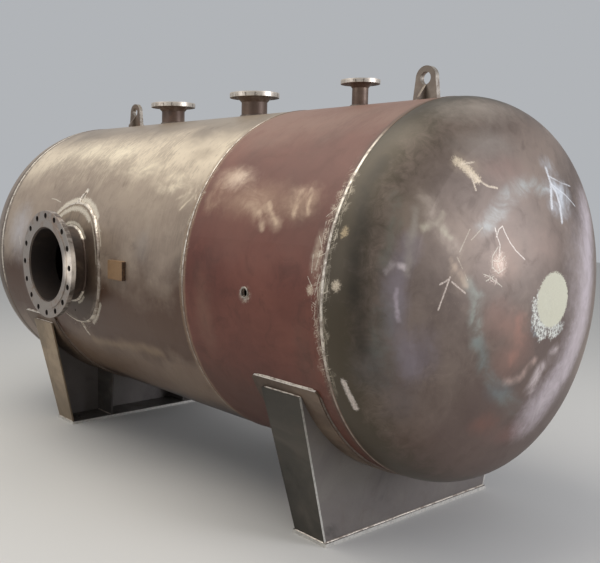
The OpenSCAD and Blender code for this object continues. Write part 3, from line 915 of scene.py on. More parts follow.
@dataclass(frozen=True)
class BoltPatch(Patch):
    """The walls of a ring of bolt holes round an axis along Y or Z."""

    centre: Place
    upright: bool
    count: int
    ring_r: float
    hole_r: float

    def mask(self, skin: Skin) -> Socket:
        """Gives the patch's mask.

        Args:
            skin: The material under way.

        Returns:
            1 inside the patch and 0 outside it.
        """
        x, y, z = skin.split(skin.vector("SUBTRACT", skin.here, self.centre))
        other = y if self.upright else z
        step = math.tau / self.count
        turn = skin.minus(skin.math("ARCTAN2", other, x), -step / 2)
        turn = skin.minus(skin.math("FLOORED_MODULO", turn, step), step / 2)
        reach = skin.vector("LENGTH", skin.join(x, other, 0.0))
        run = skin.minus(skin.times(reach, skin.math("COSINE", turn)), self.ring_r)
        off = skin.times(reach, skin.math("SINE", turn))
        away = skin.vector("LENGTH", skin.join(run, off, 0.0))
        return skin.math("LESS_THAN", away, self.hole_r)


@dataclass(frozen=True)
class Coat:
    """Another look on one patch of a piece, broken up by noise."""

    patch: Patch
    tone: Tone
    cover: float = 1.0
    roughness: float = 0.5
    metal: float = 0.3
    broken: float = 0.3
    grain: float = 60.0

    def lay(self, skin: Skin) -> None:
        """Lays the coat on a material.

        Args:
            skin: The material under way.
        """
        nicks = skin.grain(self.grain, 4, 0.7)
        whole = skin.spread(nicks, 0.38, 0.56, 1 - self.broken, 1)
        mask = skin.times(self.patch.mask(skin), whole)
        skin.lay(skin.times(mask, self.cover), self.tone, self.roughness, self.metal)


def scratches(skin: Skin, x: Socket, arc: Socket) -> Socket:
    """Makes thin crossing scratches in three directions.

    Args:
        skin: The material under way.
        x: Place along the tank.
        arc: Place round the tank.

    Returns:
        The mask, 1 on a scratch.
    """
    total = None
    for degrees, long, fine in ((24.0, 16.0, 300.0), (-78.0, 10.0, 300.0), (84.0, 9.0, 240.0)):
        c, d = math.cos(math.radians(degrees)), math.sin(math.radians(degrees))
        run = skin.plus(skin.times(x, c), skin.times(arc, d))
        off = skin.minus(skin.times(arc, c), skin.times(x, d))
        place = skin.join(skin.times(run, long), skin.times(off, fine), degrees)
        scratch = skin.spread(skin.cloud(place, 1, 2, 0.5, 0.4), 0.6, 0.68)
        total = scratch if total is None else skin.math("MAXIMUM", total, scratch)
    return total


@dataclass(frozen=True)
class ScaleFinish:
    """Mill scale on rolled plate, with streaks round the tank, marks of the shop, and bands and
    marks of painted light and shade.
    """

    name: str
    dark: Tone
    mid: Tone
    light: Tone
    roughness: float
    metal: float
    streaks: float
    tone_and_light_bands: tuple[ToneAndLightBand, ...] = ()
    zones: tuple[SeamZone, ...] = ()
    rings: tuple[RingZone, ...] = ()
    marks: tuple[Mark, ...] = ()

    def build(self, sizes: TankSizes) -> Material:
        """Builds the material.

        Args:
            sizes: The tank's sizes.

        Returns:
            The material.
        """
        skin = Skin(self.name, self.mid, self.roughness, self.metal)
        x, y, z = skin.split(skin.here)
        up = skin.minus(z, sizes.axis_z)
        angle = skin.math("ARCTAN2", y, up)
        turn = skin.size_of(angle)
        arc = skin.times(angle, sizes.r_out)
        reach = skin.vector("LENGTH", skin.join(y, up, 0.0))
        outer = skin.spread(reach, 0.45 * sizes.r_out, 0.85 * sizes.r_out)
        self._clouds(skin)
        streak = self._streaks(skin, x, arc, outer)
        self._lay_tone_and_light_bands(skin, x, arc, turn)
        if self.zones or self.rings:
            lines = scratches(skin, x, arc)
            self._zones(skin, x, turn, lines)
            self._rings(skin, (x, y, z), lines)
        if self.marks:
            layer = MarkLayer(skin)
            for mark in self.marks:
                layer.lay(mark)
        self._relief(skin, streak)
        return skin.finish()

    def _clouds(self, skin: Skin) -> None:
        """Lays broad and fine changes of tone over the whole plate.

        Args:
            skin: The material under way.
        """
        broad = skin.grain(1.7, 5, 0.6, 0.4)
        skin.lay(skin.spread(broad, 0.45, 0.7), self.light)
        skin.lay(skin.spread(broad, 0.5, 0.3), self.dark)
        mottle = skin.grain(9, 6, 0.65, 0.8)
        skin.lay(skin.spread(mottle, 0.5, 0.3, 0, 0.35), self.light)
        skin.lay(skin.spread(mottle, 0.5, 0.72, 0, 0.5), self.dark, self.roughness + 0.08)
        speck = skin.grain(150, 3, 0.6)
        skin.lay(skin.spread(speck, 0.6, 0.75, 0, 0.35), self.light)

    def _streaks(self, skin: Skin, x: Socket, arc: Socket, outer: Socket) -> Socket:
        """Lays the streaks that rolling leaves round the tank.

        Args:
            skin: The material under way.
            x: Place along the tank.
            arc: Place round the tank.
            outer: 1 away from the middle of a head, where the streaks fade out.

        Returns:
            The streak noise.
        """
        warp = skin.times(skin.grain(3, 2), 0.16)
        across = skin.plus(x, warp)
        stretched = skin.join(skin.times(across, 26.0), skin.times(arc, 4.0), 0.0)
        streak = skin.minus(skin.cloud(stretched, 1, 6, 0.7, 0.5), 0.5)
        streak = skin.plus(skin.times(streak, outer), 0.5)
        skin.lay(skin.spread(streak, 0.55, 0.75, 0, self.streaks), self.light,
                 self.roughness - 0.08)
        skin.lay(skin.spread(streak, 0.47, 0.3, 0, self.streaks), self.dark)
        return streak

    def _lay_tone_and_light_bands(self, skin: Skin, x: Socket, arc: Socket, turn: Socket) -> None:
        """Lays the bands of tone and painted light, each between its own turns from the top.

        Args:
            skin: The material under way.
            x: Place along the tank.
            arc: Place round the tank.
            turn: Angle from the top in radians.
        """
        if not self.tone_and_light_bands:
            return
        sway = skin.minus(skin.grain(2.6, 4, 0.6, 0.5), 0.5)
        swayed = skin.plus(turn, skin.times(sway, 0.55))
        short = skin.join(skin.times(x, 85.0), skin.times(arc, 17.0), 3.0)
        fleck = skin.cloud(short, 1, 4, 0.65, 0.6)
        fleck = skin.plus(fleck, skin.times(sway, 0.9))
        for tone_band in self.tone_and_light_bands:
            start, full, fade, end = (math.radians(item) for item in tone_band.turns)
            mask = skin.times(skin.spread(swayed, start, full), skin.spread(swayed, end, fade))
            kept = skin.spread(fleck, 0.45, 0.63, 1, 1 - tone_band.flecked)
            mask = skin.times(skin.times(mask, kept), tone_band.cover)
            skin.lay(mask, tone_band.tone, tone_band.roughness)

    def _zones(self, skin: Skin, x: Socket, turn: Socket, lines: Socket) -> None:
        """Lays the worked steel beside the seams.

        Args:
            skin: The material under way.
            x: Place along the tank.
            turn: Angle from the top in radians.
            lines: The scratches.
        """
        fray = skin.grain(16, 5, 0.7, 0.8)
        for zone in self.zones:
            away = skin.size_of(skin.minus(x, zone.x))
            spread_out = skin.times(skin.minus(fray, 0.5), zone.tinted)
            tinted = skin.plus(away, spread_out)
            tint = skin.spread(tinted, zone.tinted, 0.35 * zone.tinted, 0, zone.tint_cover)
            skin.lay(tint, zone.tint, self.roughness - 0.04, self.metal + 0.1)
            window = skin.window(turn, zone.turns, 0.3)
            ragged = skin.times(skin.minus(fray, 0.42), 3.2 * zone.scratched)
            near = skin.minus(away, ragged)
            near = skin.spread(near, zone.scratched, 0.2 * zone.scratched)
            worked = skin.times(skin.times(near, window), zone.cover)
            solid = skin.times(skin.spread(fray, 0.5, 0.66), 0.35)
            bright = skin.times(worked, skin.math("MAXIMUM", lines, solid))
            skin.lay(bright, WORKED, 0.4, 0.55)

    def _rings(self, skin: Skin, here: tuple[Socket, Socket, Socket], lines: Socket) -> None:
        """Lays the scratched steel round pads and holes.

        Args:
            skin: The material under way.
            here: Place along the tank, across it and above the floor.
            lines: The scratches.
        """
        x, y, z = here
        near_side = skin.math("LESS_THAN", y, 0.0)
        for ring in self.rings:
            flat = skin.join(skin.minus(x, ring.x), 0.0, skin.minus(z, ring.z))
            away = skin.minus(skin.vector("LENGTH", flat), ring.radius)
            near = skin.spread(skin.size_of(away), ring.reach, 0.3 * ring.reach)
            fray = skin.spread(skin.grain(20, 4, 0.7), 0.4, 0.62)
            mask = skin.times(skin.times(near, fray), ring.cover)
            mask = skin.times(mask, skin.math("MAXIMUM", lines, 0.3))
            mask = skin.times(mask, near_side)
            skin.lay(mask, WORKED, 0.4, 0.55)

    def _relief(self, skin: Skin, streak: Socket) -> None:
        """Adds the plate's own relief: dents, roll marks and the grain of the scale.

        Args:
            skin: The material under way.
            streak: The streak noise.
        """
        skin.raise_by(skin.grain(2.4, 2, 0.5), 5)
        skin.raise_by(streak, 0.18)
        skin.raise_by(skin.grain(70, 4, 0.6), 0.16)
        skin.raise_by(skin.grain(420, 3, 0.6), 0.05)


@dataclass(frozen=True)
class BrightRun:
    """Part of a girth seam that was ground bright, between two turns from the top."""

    x: float
    turns: tuple[float, float]
    cover: float
    half: float


@dataclass(frozen=True)
class BeadFinish:
    """Weld metal: stained brown, and bright where it was ground; the bright arcs of the manhole
    neck's fillet are a painted highlight.
    """

    name: str
    stained: Tone = (108, 88, 74)
    bright: Tone = (226, 216, 202)
    brightness: float = 0.75
    runs: tuple[BrightRun, ...] = ()
    dull: Patch | None = None
    dulled: float = 1.0

    def build(self, sizes: TankSizes) -> Material:
        """Builds the material.

        Args:
            sizes: The tank's sizes.

        Returns:
            The material.
        """
        skin = Skin(self.name, self.stained, 0.5, 0.35)
        x, y, z = skin.split(skin.here)
        ground: Feed = self.brightness
        if self.runs:
            turn = skin.size_of(skin.math("ARCTAN2", y, skin.minus(z, sizes.axis_z)))
            ground = self._ground(skin, x, turn)
        if self.dull:
            share = skin.times(self.dull.mask(skin), self.dulled)
            ground = skin.times(ground, skin.minus(1.0, share))
        patchy = skin.grain(26, 5, 0.7, 0.5)
        kept = skin.spread(patchy, 0.38, 0.56, 0.3, 1)
        skin.lay(skin.times(kept, ground), self.bright, 0.38, 0.65)
        speck = skin.grain(190, 4, 0.65)
        skin.lay(skin.spread(speck, 0.56, 0.72, 0, 0.5), self.stained, 0.6, 0.3)
        skin.raise_by(speck, 0.25)
        return skin.finish()

    def _ground(self, skin: Skin, x: Socket, turn: Socket) -> Socket:
        """Gives the share of bright metal from the runs.

        Args:
            skin: The material under way.
            x: Place along the tank.
            turn: Angle from the top in radians.

        Returns:
            The share, 0 to 1.
        """
        total = None
        for run in self.runs:
            away = skin.size_of(skin.minus(x, run.x))
            near = skin.spread(away, run.half, 0.7 * run.half)
            share = skin.times(near, skin.window(turn, run.turns, 0.25), run.cover)
            total = share if total is None else skin.math("MAXIMUM", total, share)
        return total


@dataclass(frozen=True)
class TurnedFinish:
    """Turned steel of a flange: rings round its axis, a rim barred with painted shade and
    highlight, faint rust.
    """

    name: str
    centre: Place
    upright: bool
    rim_r: float
    face: Tone = (196, 189, 182)
    rust: Tone = (126, 96, 74)
    rust_cover: float = 0.5
    coats: tuple[Coat, ...] = ()

    def build(self) -> Material:
        """Builds the material.

        Returns:
            The material.
        """
        skin = Skin(self.name, self.face, 0.34, 0.7)
        offset = skin.vector("SUBTRACT", skin.here, self.centre)
        x, y, z = skin.split(offset)
        depth, other = (z, y) if self.upright else (y, z)
        reach = skin.reach(offset, self.upright)
        rings = skin.cloud(skin.join(skin.times(reach, 900),
                                     skin.times(depth, 900.0), 0.0), 1.0, 3.0, 0.7)
        skin.lay(skin.spread(rings, 0.4, 0.65, 0, 0.35), (150, 141, 134), 0.46)
        blush = skin.grain(9, 6, 0.7, 0.6)
        skin.lay(skin.spread(blush, 0.48, 0.72, 0, self.rust_cover), self.rust, 0.6, 0.25)
        spots = skin.grain(75, 4, 0.7)
        skin.lay(skin.spread(spots, 0.6, 0.74, 0, self.rust_cover), self.rust, 0.7, 0.1)
        # painted shade and painted highlight on the rim: dark and bright bars round it
        turn = skin.math("ARCTAN2", x, other)
        bars = skin.cloud(skin.join(skin.times(turn, 5),
                                    skin.times(depth, 9.0), 0.0), 1.0, 4.0, 0.6)
        rim = skin.math("GREATER_THAN", reach, self.rim_r - 0.6 * MM)
        skin.lay(skin.times(rim, skin.spread(bars, 0.52, 0.62, 0, 0.85)),
                 (92, 80, 72), 0.42, 0.6)
        skin.lay(skin.times(rim, skin.spread(bars, 0.46, 0.38, 0, 0.8)),
                 (226, 216, 206), 0.3, 0.8)
        for coat in self.coats:
            coat.lay(skin)
        skin.raise_by(rings, 0.06)
        return skin.finish()


@dataclass(frozen=True)
class PlateFinish:
    """Flat cut plate or pipe: scale, rust in patches, and coats such as bright cut edges or
    painted shade.
    """

    name: str
    tone: Tone
    dark: Tone
    light: Tone
    rust: Tone
    rust_cover: float = 0.5
    roughness: float = 0.46
    metal: float = 0.35
    coats: tuple[Coat, ...] = ()

    def build(self) -> Material:
        """Builds the material.

        Returns:
            The material.
        """
        skin = Skin(self.name, self.tone, self.roughness, self.metal)
        broad = skin.grain(3, 5, 0.6, 0.7)
        skin.lay(skin.spread(broad, 0.47, 0.7), self.light, self.roughness - 0.05)
        skin.lay(skin.spread(broad, 0.48, 0.28), self.dark, self.roughness + 0.06)
        rust = skin.grain(8, 6, 0.7, 0.9)
        skin.lay(skin.spread(rust, 0.5, 0.74, 0, self.rust_cover), self.rust, 0.65, 0.1)
        rubbed = skin.grain(24, 6, 0.75, 0.4)
        skin.lay(skin.spread(rubbed, 0.56, 0.75, 0, 0.35), self.light, self.roughness - 0.1)
        speck = skin.grain(160, 3, 0.6)
        skin.lay(skin.spread(speck, 0.6, 0.76, 0, 0.4), self.dark)
        for coat in self.coats:
            coat.lay(skin)
        skin.raise_by(skin.grain(6, 3, 0.5), 0.8)
        skin.raise_by(skin.grain(120, 4, 0.6), 0.14)
        return skin.finish()


@dataclass
class Rail:
    """The line that a bead follows, with its sideways and upwards directions."""

    points: list[Vector]
    sides: list[Vector]
    ups: list[Vector]
    closed: bool = False

    def facing(self) -> "Rail":
        """Turns the rail's run round where its faces would point inwards.

        Returns:
            The rail.
        """
        run = self.points[1] - self.points[0]
        if run.cross(self.sides[0]).dot(self.ups[0]) < 0:
            return Rail(self.points[::-1], self.sides[::-1], self.ups[::-1], self.closed)
        return self

    def distances(self) -> list[float]:
        """Measures along the rail.

        Returns:
            The distance of each point from the first.
        """
        total = 0.0
        found = [0.0]
        for a, b in zip(self.points, self.points[1:]):
            total += (b - a).length
            found.append(total)
        return found


@dataclass(frozen=True)
class Section:
    """Cross-section of a bead: sideways, upwards, place across and share of the ripple."""

    corners: tuple[tuple[float, float, float, float], ...]

    @classmethod
    def butt(cls, half: float, height: float, root: float, depth: float) -> "Section":
        """Makes the section of a bead that fills a groove and stands above it.

        Args:
            half: Half its width at the surface.
            height: Its height above the surface.
            root: Half its width at the bottom of the groove.
            depth: Depth of the groove.

        Returns:
            The section.
        """
        steps = 8
        corners = [(-root, -depth, -1.0, 0.0)]
        for i in range(steps + 1):
            across = -1.0 + 2.0 * i / steps
            crown = 1.0 - across * across
            sink = 0.6 * MM * (1.0 - crown)
            corners.append((half * across, height * crown ** 0.7 - sink, across, crown))
        corners.append((root, -depth, 1.0, 0.0))
        return cls(tuple(reversed(corners)))

    @classmethod
    def fillet(cls, leg: float, swell: float = 0.12) -> "Section":
        """Makes the section of a bead in a corner; sideways and upwards are the two plates.

        Args:
            leg: Reach of the bead on each plate.
            swell: How far the face bulges, as a share of the leg.

        Returns:
            The section.
        """
        steps = 6
        corners = [(-0.8 * MM, -0.8 * MM, 0.0, 0.0)]
        for i in range(steps + 1):
            share = i / steps
            across = -1.0 + 2.0 * share
            crown = 1.0 - across * across
            bulge = swell * leg * crown
            corners.append((leg * (1.0 - share) - 0.5 * MM * share + bulge,
                            leg * share - 0.5 * MM * (1.0 - share) + bulge, across, crown))
        return cls(tuple(corners))


class BeadMesh:
    """Collects the beads of one piece, with the attributes that the ripple tree reads."""

    def __init__(self, uneven: float = 0.14) -> None:
        """Starts an empty piece.

        Args:
            uneven: How much the width of a hand-made bead comes and goes.
        """
        self.uneven = uneven
        self.points: list[Vector] = []
        self.faces: list[tuple[int, ...]] = []
        self.along: list[float] = []
        self.across: list[float] = []
        self.crown: list[float] = []

    def sweep(self, rail: Rail, section: Section) -> None:
        """Sweeps a section along a rail.

        Args:
            rail: The line to follow.
            section: The section, drawn so that the faces point outwards.
        """
        first = len(self.points)
        width = len(section.corners)
        for index, distance in enumerate(rail.distances()):
            place = rail.points[index]
            swell = 1.0 + self.uneven * noise.noise(place * 23.0)
            drift = self.uneven * 3.0 * MM * noise.noise(place * 9.0)
            taper = self._taper(rail, index)
            for side, up, across, crown in section.corners:
                shift = rail.sides[index] * (side * swell * taper + drift * crown)
                lift = rail.ups[index] * up * (taper if up > 0 else 1.0)
                self.points.append(place + shift + lift)
                self.along.append(distance)
                self.across.append(across)
                self.crown.append(crown * taper)
        count = len(rail.points)
        for row in range(count if rail.closed else count - 1):
            low = first + row * width
            high = first + ((row + 1) % count) * width
            for k in range(width):
                n = (k + 1) % width
                self.faces.append((low + k, low + n, high + n, high + k))
        if not rail.closed:
            self.faces.append(tuple(first + k for k in reversed(range(width))))
            last = first + (count - 1) * width
            self.faces.append(tuple(last + k for k in range(width)))

    def strip(self, pairs: Sequence[tuple[Vector, Vector]], heat: float) -> None:
        """Adds a field that drops are scattered over.

        Args:
            pairs: Points of its two edges.
            heat: How close the drops lie, 0 to 1.
        """
        first = len(self.points)
        for pair in pairs:
            self.points += pair
            self.along += (0.0, 0.0)
            self.across += (0.0, 0.0)
            self.crown += (heat, heat)
        starts = range(first, len(self.points) - 2, 2)
        self.faces += [(a, a + 2, a + 3, a + 1) for a in starts]

    @staticmethod
    def _taper(rail: Rail, index: int) -> float:
        """Thins an open bead towards both its ends.

        Args:
            rail: The line that it follows.
            index: The place on it.

        Returns:
            The share of the full width.
        """
        if rail.closed:
            return 1.0
        nearest = min(index, len(rail.points) - 1 - index)
        return 0.35 + 0.65 * min(1.0, nearest / 4)

    def mesh(self, name: str) -> Mesh:
        """Makes the mesh.

        Args:
            name: Its name.

        Returns:
            The mesh, with the attributes along, across and crown.
        """
        made = bpy.data.meshes.new(name)
        made.from_pydata(self.points, [], self.faces)
        for label, values in (("along", self.along), ("across", self.across),
                              ("crown", self.crown)):
            made.attributes.new(label, "FLOAT", "POINT").data.foreach_set("value", values)
        made.polygons.foreach_set("use_smooth", [True] * len(made.polygons))
        made.validate()
        return made


class DetailTree(Enum):
    """The two Geometry Nodes trees of this script."""

    RIPPLES = "weld ripples"
    SPATTER = "weld spatter"


class DetailTrees:
    """Builds the Geometry Nodes trees once and runs them on pieces."""

    def __init__(self) -> None:
        """Builds both trees."""
        self.trees = {DetailTree.RIPPLES: self._ripples(), DetailTree.SPATTER: self._spatter()}

    @staticmethod
    def _start(kind: DetailTree, *numbers: str) -> tuple[Graph, bpy.types.NodeOutputs]:
        """Starts a tree with its inputs.

        Args:
            kind: Which tree.
            numbers: Names of its number inputs.

        Returns:
            The graph and what its inputs give.
        """
        takes = {"Geometry": "Geometry", **dict.fromkeys(numbers, "Float"), "Seed": "Int",
                 "Finish": "Material"}
        gives = {"Geometry": "Geometry"}
        graph, given = Graph.opened("GeometryNodeTree", kind.value, takes, gives)
        return graph, given.outputs

    @staticmethod
    def _end(graph: Graph, finish: Socket, geometry: Socket) -> Tree:
        """Ends a tree with Realize Instances and Set Material.

        Args:
            graph: The graph under way.
            finish: The material.
            geometry: What it has made.

        Returns:
            The tree.
        """
        real = graph.node("GeometryNodeRealizeInstances", {"Geometry": geometry})
        dressed = graph.node("GeometryNodeSetMaterial", {
            "Geometry": real.outputs["Geometry"], "Material": finish})
        graph.node("NodeGroupOutput", {"Geometry": dressed.outputs["Geometry"]})
        return graph.tree

    @staticmethod
    def _attribute(graph: Graph, name: str) -> Socket:
        """Reads a number that the mesh carries at each point."""
        read = graph.node("GeometryNodeInputNamedAttribute", {"Name": name}, data_type="FLOAT")
        return read.outputs["Attribute"]

    def _ripples(self) -> Tree:
        """Builds the tree that lifts a bead into crescents along its run.

        Returns:
            The tree.
        """
        graph, given = self._start(DetailTree.RIPPLES, "Pitch", "Height", "Lumps")
        along, across, crown = (self._attribute(graph, name)
                                for name in ("along", "across", "crown"))
        place = graph.node("GeometryNodeInputPosition").outputs[0]
        moved = graph.vector("ADD", place, graph.join(graph.times(given["Seed"], 7.31), 0.0, 0.0))
        phase = graph.plus(graph.math("DIVIDE", along, given["Pitch"]),
                           graph.times(across, across, 0.8),
                           graph.times(graph.cloud(moved, 30), 0.9))
        crest = graph.minus(1.0, graph.math("POWER", graph.math("FRACT", phase), 1.6))
        ripple = graph.times(crest, given["Height"])
        lump = graph.times(graph.minus(graph.cloud(moved, 95, 3), 0.5), given["Lumps"])
        rise = graph.times(graph.plus(ripple, graph.plus(lump, lump)), crown)
        normal = graph.node("GeometryNodeInputNormal").outputs[0]
        lifted = graph.node("GeometryNodeSetPosition", {
            "Geometry": given["Geometry"], "Offset": graph.vector("SCALE", normal, rise)})
        return self._end(graph, given["Finish"], lifted.outputs["Geometry"])

    def _spatter(self) -> Tree:
        """Builds the tree that scatters small drops of weld metal over a field.

        Returns:
            The tree.
        """
        graph, given = self._start(DetailTree.SPATTER, "Density", "Small", "Large")
        heat = graph.times(self._attribute(graph, "crown"), given["Density"])
        points = graph.node("GeometryNodeDistributePointsOnFaces", {
            "Mesh": given["Geometry"], "Density": heat, "Seed": given["Seed"]},
            distribute_method="RANDOM").outputs
        drop = graph.node("GeometryNodeMeshIcoSphere", {"Radius": 1.0, "Subdivisions": 1})
        chance = graph.node("FunctionNodeRandomValue", {"Seed": given["Seed"]},
                            data_type="FLOAT")
        size = graph.node("ShaderNodeMapRange", {
            "Value": graph.math("POWER", chance.outputs[1], 3.0), "To Min": given["Small"],
            "To Max": given["Large"]})
        placed = graph.node("GeometryNodeInstanceOnPoints", {
            "Points": points["Points"], "Instance": drop.outputs["Mesh"],
            "Rotation": points["Rotation"], "Scale": size.outputs["Result"]})
        return self._end(graph, given["Finish"], placed.outputs["Instances"])

    def run(self, kind: DetailTree, mesh: Mesh, finish: Material,
            seed: int, **numbers: float) -> Piece:
        """Runs a tree on a mesh and keeps the result as a plain mesh.

        Args:
            kind: Which tree.
            mesh: The mesh to start from.
            finish: The material of the result.
            seed: Seed of all that is random in it.
            numbers: Values for the tree's number inputs, by name.

        Returns:
            The piece, with no modifier left on it.
        """
        tree = self.trees[kind]
        piece = bpy.data.objects.new(mesh.name, mesh)
        bpy.context.scene.collection.objects.link(piece)
        modifier = piece.modifiers.new("detail", "NODES")
        modifier.node_group = tree
        values = {"Seed": seed, "Finish": finish, **numbers}
        for item in tree.interface.items_tree:
            if item.item_type == "SOCKET" and item.in_out == "INPUT" and item.name in values:
                modifier[item.identifier] = values[item.name]
        graph = bpy.context.evaluated_depsgraph_get()
        result = bpy.data.meshes.new_from_object(piece.evaluated_get(graph), depsgraph=graph)
        piece.modifiers.clear()
        piece.data = result
        result.name = mesh.name
        result.polygons.foreach_set("use_smooth", [True] * len(result.polygons))
        return piece


TREES = DetailTrees()


def dress(node: str, material: Material) -> None:
    """Gives a CAD node its finish.

    Args:
        node: The node's name.
        material: The finish.
    """
    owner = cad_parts[node]
    owner.data.materials.clear()
    owner.data.materials.append(material)


def seat(piece: Piece, slot: str, *stands_for: str) -> None:
    """Makes a new piece ride on the tank.

    Args:
        piece: The piece.
        slot: Not used.
        stands_for: CAD nodes that it replaces.
    """
    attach(piece, "root")
    if stands_for:
        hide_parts(*stands_for)
    LOG.info("%s: %d faces", piece.name, len(piece.data.polygons))


def ring_rail(centre: Vector, radius: float, step: float) -> Rail:
    """Makes the closed rail of a girth seam.

    Args:
        centre: Centre of the ring.
        radius: Its radius.
        step: Distance between its points.

    Returns:
        The rail. Its sides point along the tank.
    """
    count = max(24, round(math.tau * radius / step))
    turns = [math.tau * i / count for i in range(count)]
    outs = [UP * math.cos(a) + FAR_SIDE * math.sin(a) for a in turns]
    places = [centre + out * radius for out in outs]
    return Rail(places, [UP.cross(FAR_SIDE)] * count, outs, closed=True).facing()


def saddle_rail(sizes: TankSizes, x: float, radius: float, layer: float, upright: bool,
                step: float) -> Rail:
    """Makes the closed rail where a round neck or pad meets the shell.

    Args:
        sizes: The tank's sizes.
        x: Place of the neck's axis along the tank.
        radius: Radius of the neck.
        layer: Radius of the surface that it stands on.
        upright: True on top of the tank, False on the manhole side.
        step: Distance between its points.

    Returns:
        The rail. Its sides lie on the surface and its ups along the neck.
    """
    count = max(24, round(math.tau * radius / step))
    wall = UP if upright else -FAR_SIDE
    cross = FAR_SIDE if upright else UP
    points, sides, ups = [], [], []
    for i in range(count):
        a = math.tau * i / count
        out = Vector((math.cos(a), 0, 0)) + cross * math.sin(a)
        over = radius * math.sin(a)
        height = math.sqrt(layer * layer - over * over)
        point = (Vector((x, 0, sizes.axis_z)) + Vector((radius * math.cos(a), 0, 0))
                 + cross * over + wall * height)
        normal = sizes.outwards(point)
        points.append(point)
        sides.append((out - normal * out.dot(normal)).normalized())
        ups.append(wall)
    return Rail(points, sides, ups, closed=True).facing()


def straight_rail(start: Vector, stop: Vector, side: Vector, up: Vector, step: float) -> Rail:
    """Makes a straight rail.

    Args:
        start: Where it starts.
        stop: Where it ends.
        side: Its sideways direction.
        up: Its upward direction.
        step: Distance between its points.

    Returns:
        The rail.
    """
    count = max(3, round((stop - start).length / step))
    points = [start.lerp(stop, i / count) for i in range(count + 1)]
    return Rail(points, [side] * len(points), [up] * len(points)).facing()


def shell_rail(sizes: TankSizes, start: tuple[float, float], stop: tuple[float, float],
               step: float) -> Rail:
    """Makes a rail that lies on the shell.

    Args:
        sizes: The tank's sizes.
        start: Its first place, along the tank and round it in degrees from the top.
        stop: Its last place, given the same way.
        step: Distance between its points.

    Returns:
        The rail.
    """
    ends = Vector(start), Vector(stop)
    length = math.hypot(stop[0] - start[0], math.radians(stop[1] - start[1]) * sizes.r_out)
    count = max(3, round(length / step))
    places = [ends[0].lerp(ends[1], i / count) for i in range(count + 1)]
    points = [sizes.on_shell(x, turn) for x, turn in places]
    run = (points[-1] - points[0]).normalized()
    ups = [sizes.outwards(point) for point in points]
    return Rail(points, [up.cross(run).normalized() for up in ups], ups).facing()


@dataclass
class Fixing:
    """Shared parts of every sub-assembly: its sizes and the weld metal."""

    sizes: TankSizes
    bead: Material

    def weld(self, name: str, rails: Iterable[Rail], section: Section, seed: int,
             stands_for: Sequence[str] = (), pitch: float = 5 * MM, height: float = 0.9 * MM,
             uneven: float = 0.14) -> Piece:
        """Lays rippled beads along rails as one piece.

        Args:
            name: The piece's name.
            rails: The lines that the beads follow.
            section: Their cross-section.
            seed: Seed of the ripples.
            stands_for: CAD nodes that the piece replaces.
            pitch: Distance from ripple to ripple.
            height: Height of a ripple.
            uneven: How much the bead's width comes and goes.

        Returns:
            The piece.
        """
        beads = BeadMesh(uneven)
        for rail in rails:
            beads.sweep(rail, section)
        piece = TREES.run(DetailTree.RIPPLES, beads.mesh(name), self.bead, seed,
                          Pitch=pitch, Height=height, Lumps=height)
        seat(piece, "weld", *stands_for)
        return piece


SUNK = 0.2 * MM  # how deep the fields of the spatter lie in the plate


@dataclass(frozen=True)
class SeamSizes:
    """Sizes of the girth and long seams, and of the raw hole."""

    half: float = 8 * MM
    root: float = 2.4 * MM
    crest: float = 1.2 * MM
    ripple: float = 0.9 * MM
    step: float = 2 * MM
    hole_x: float = -0.16
    hole_r: float = 18.5 * MM


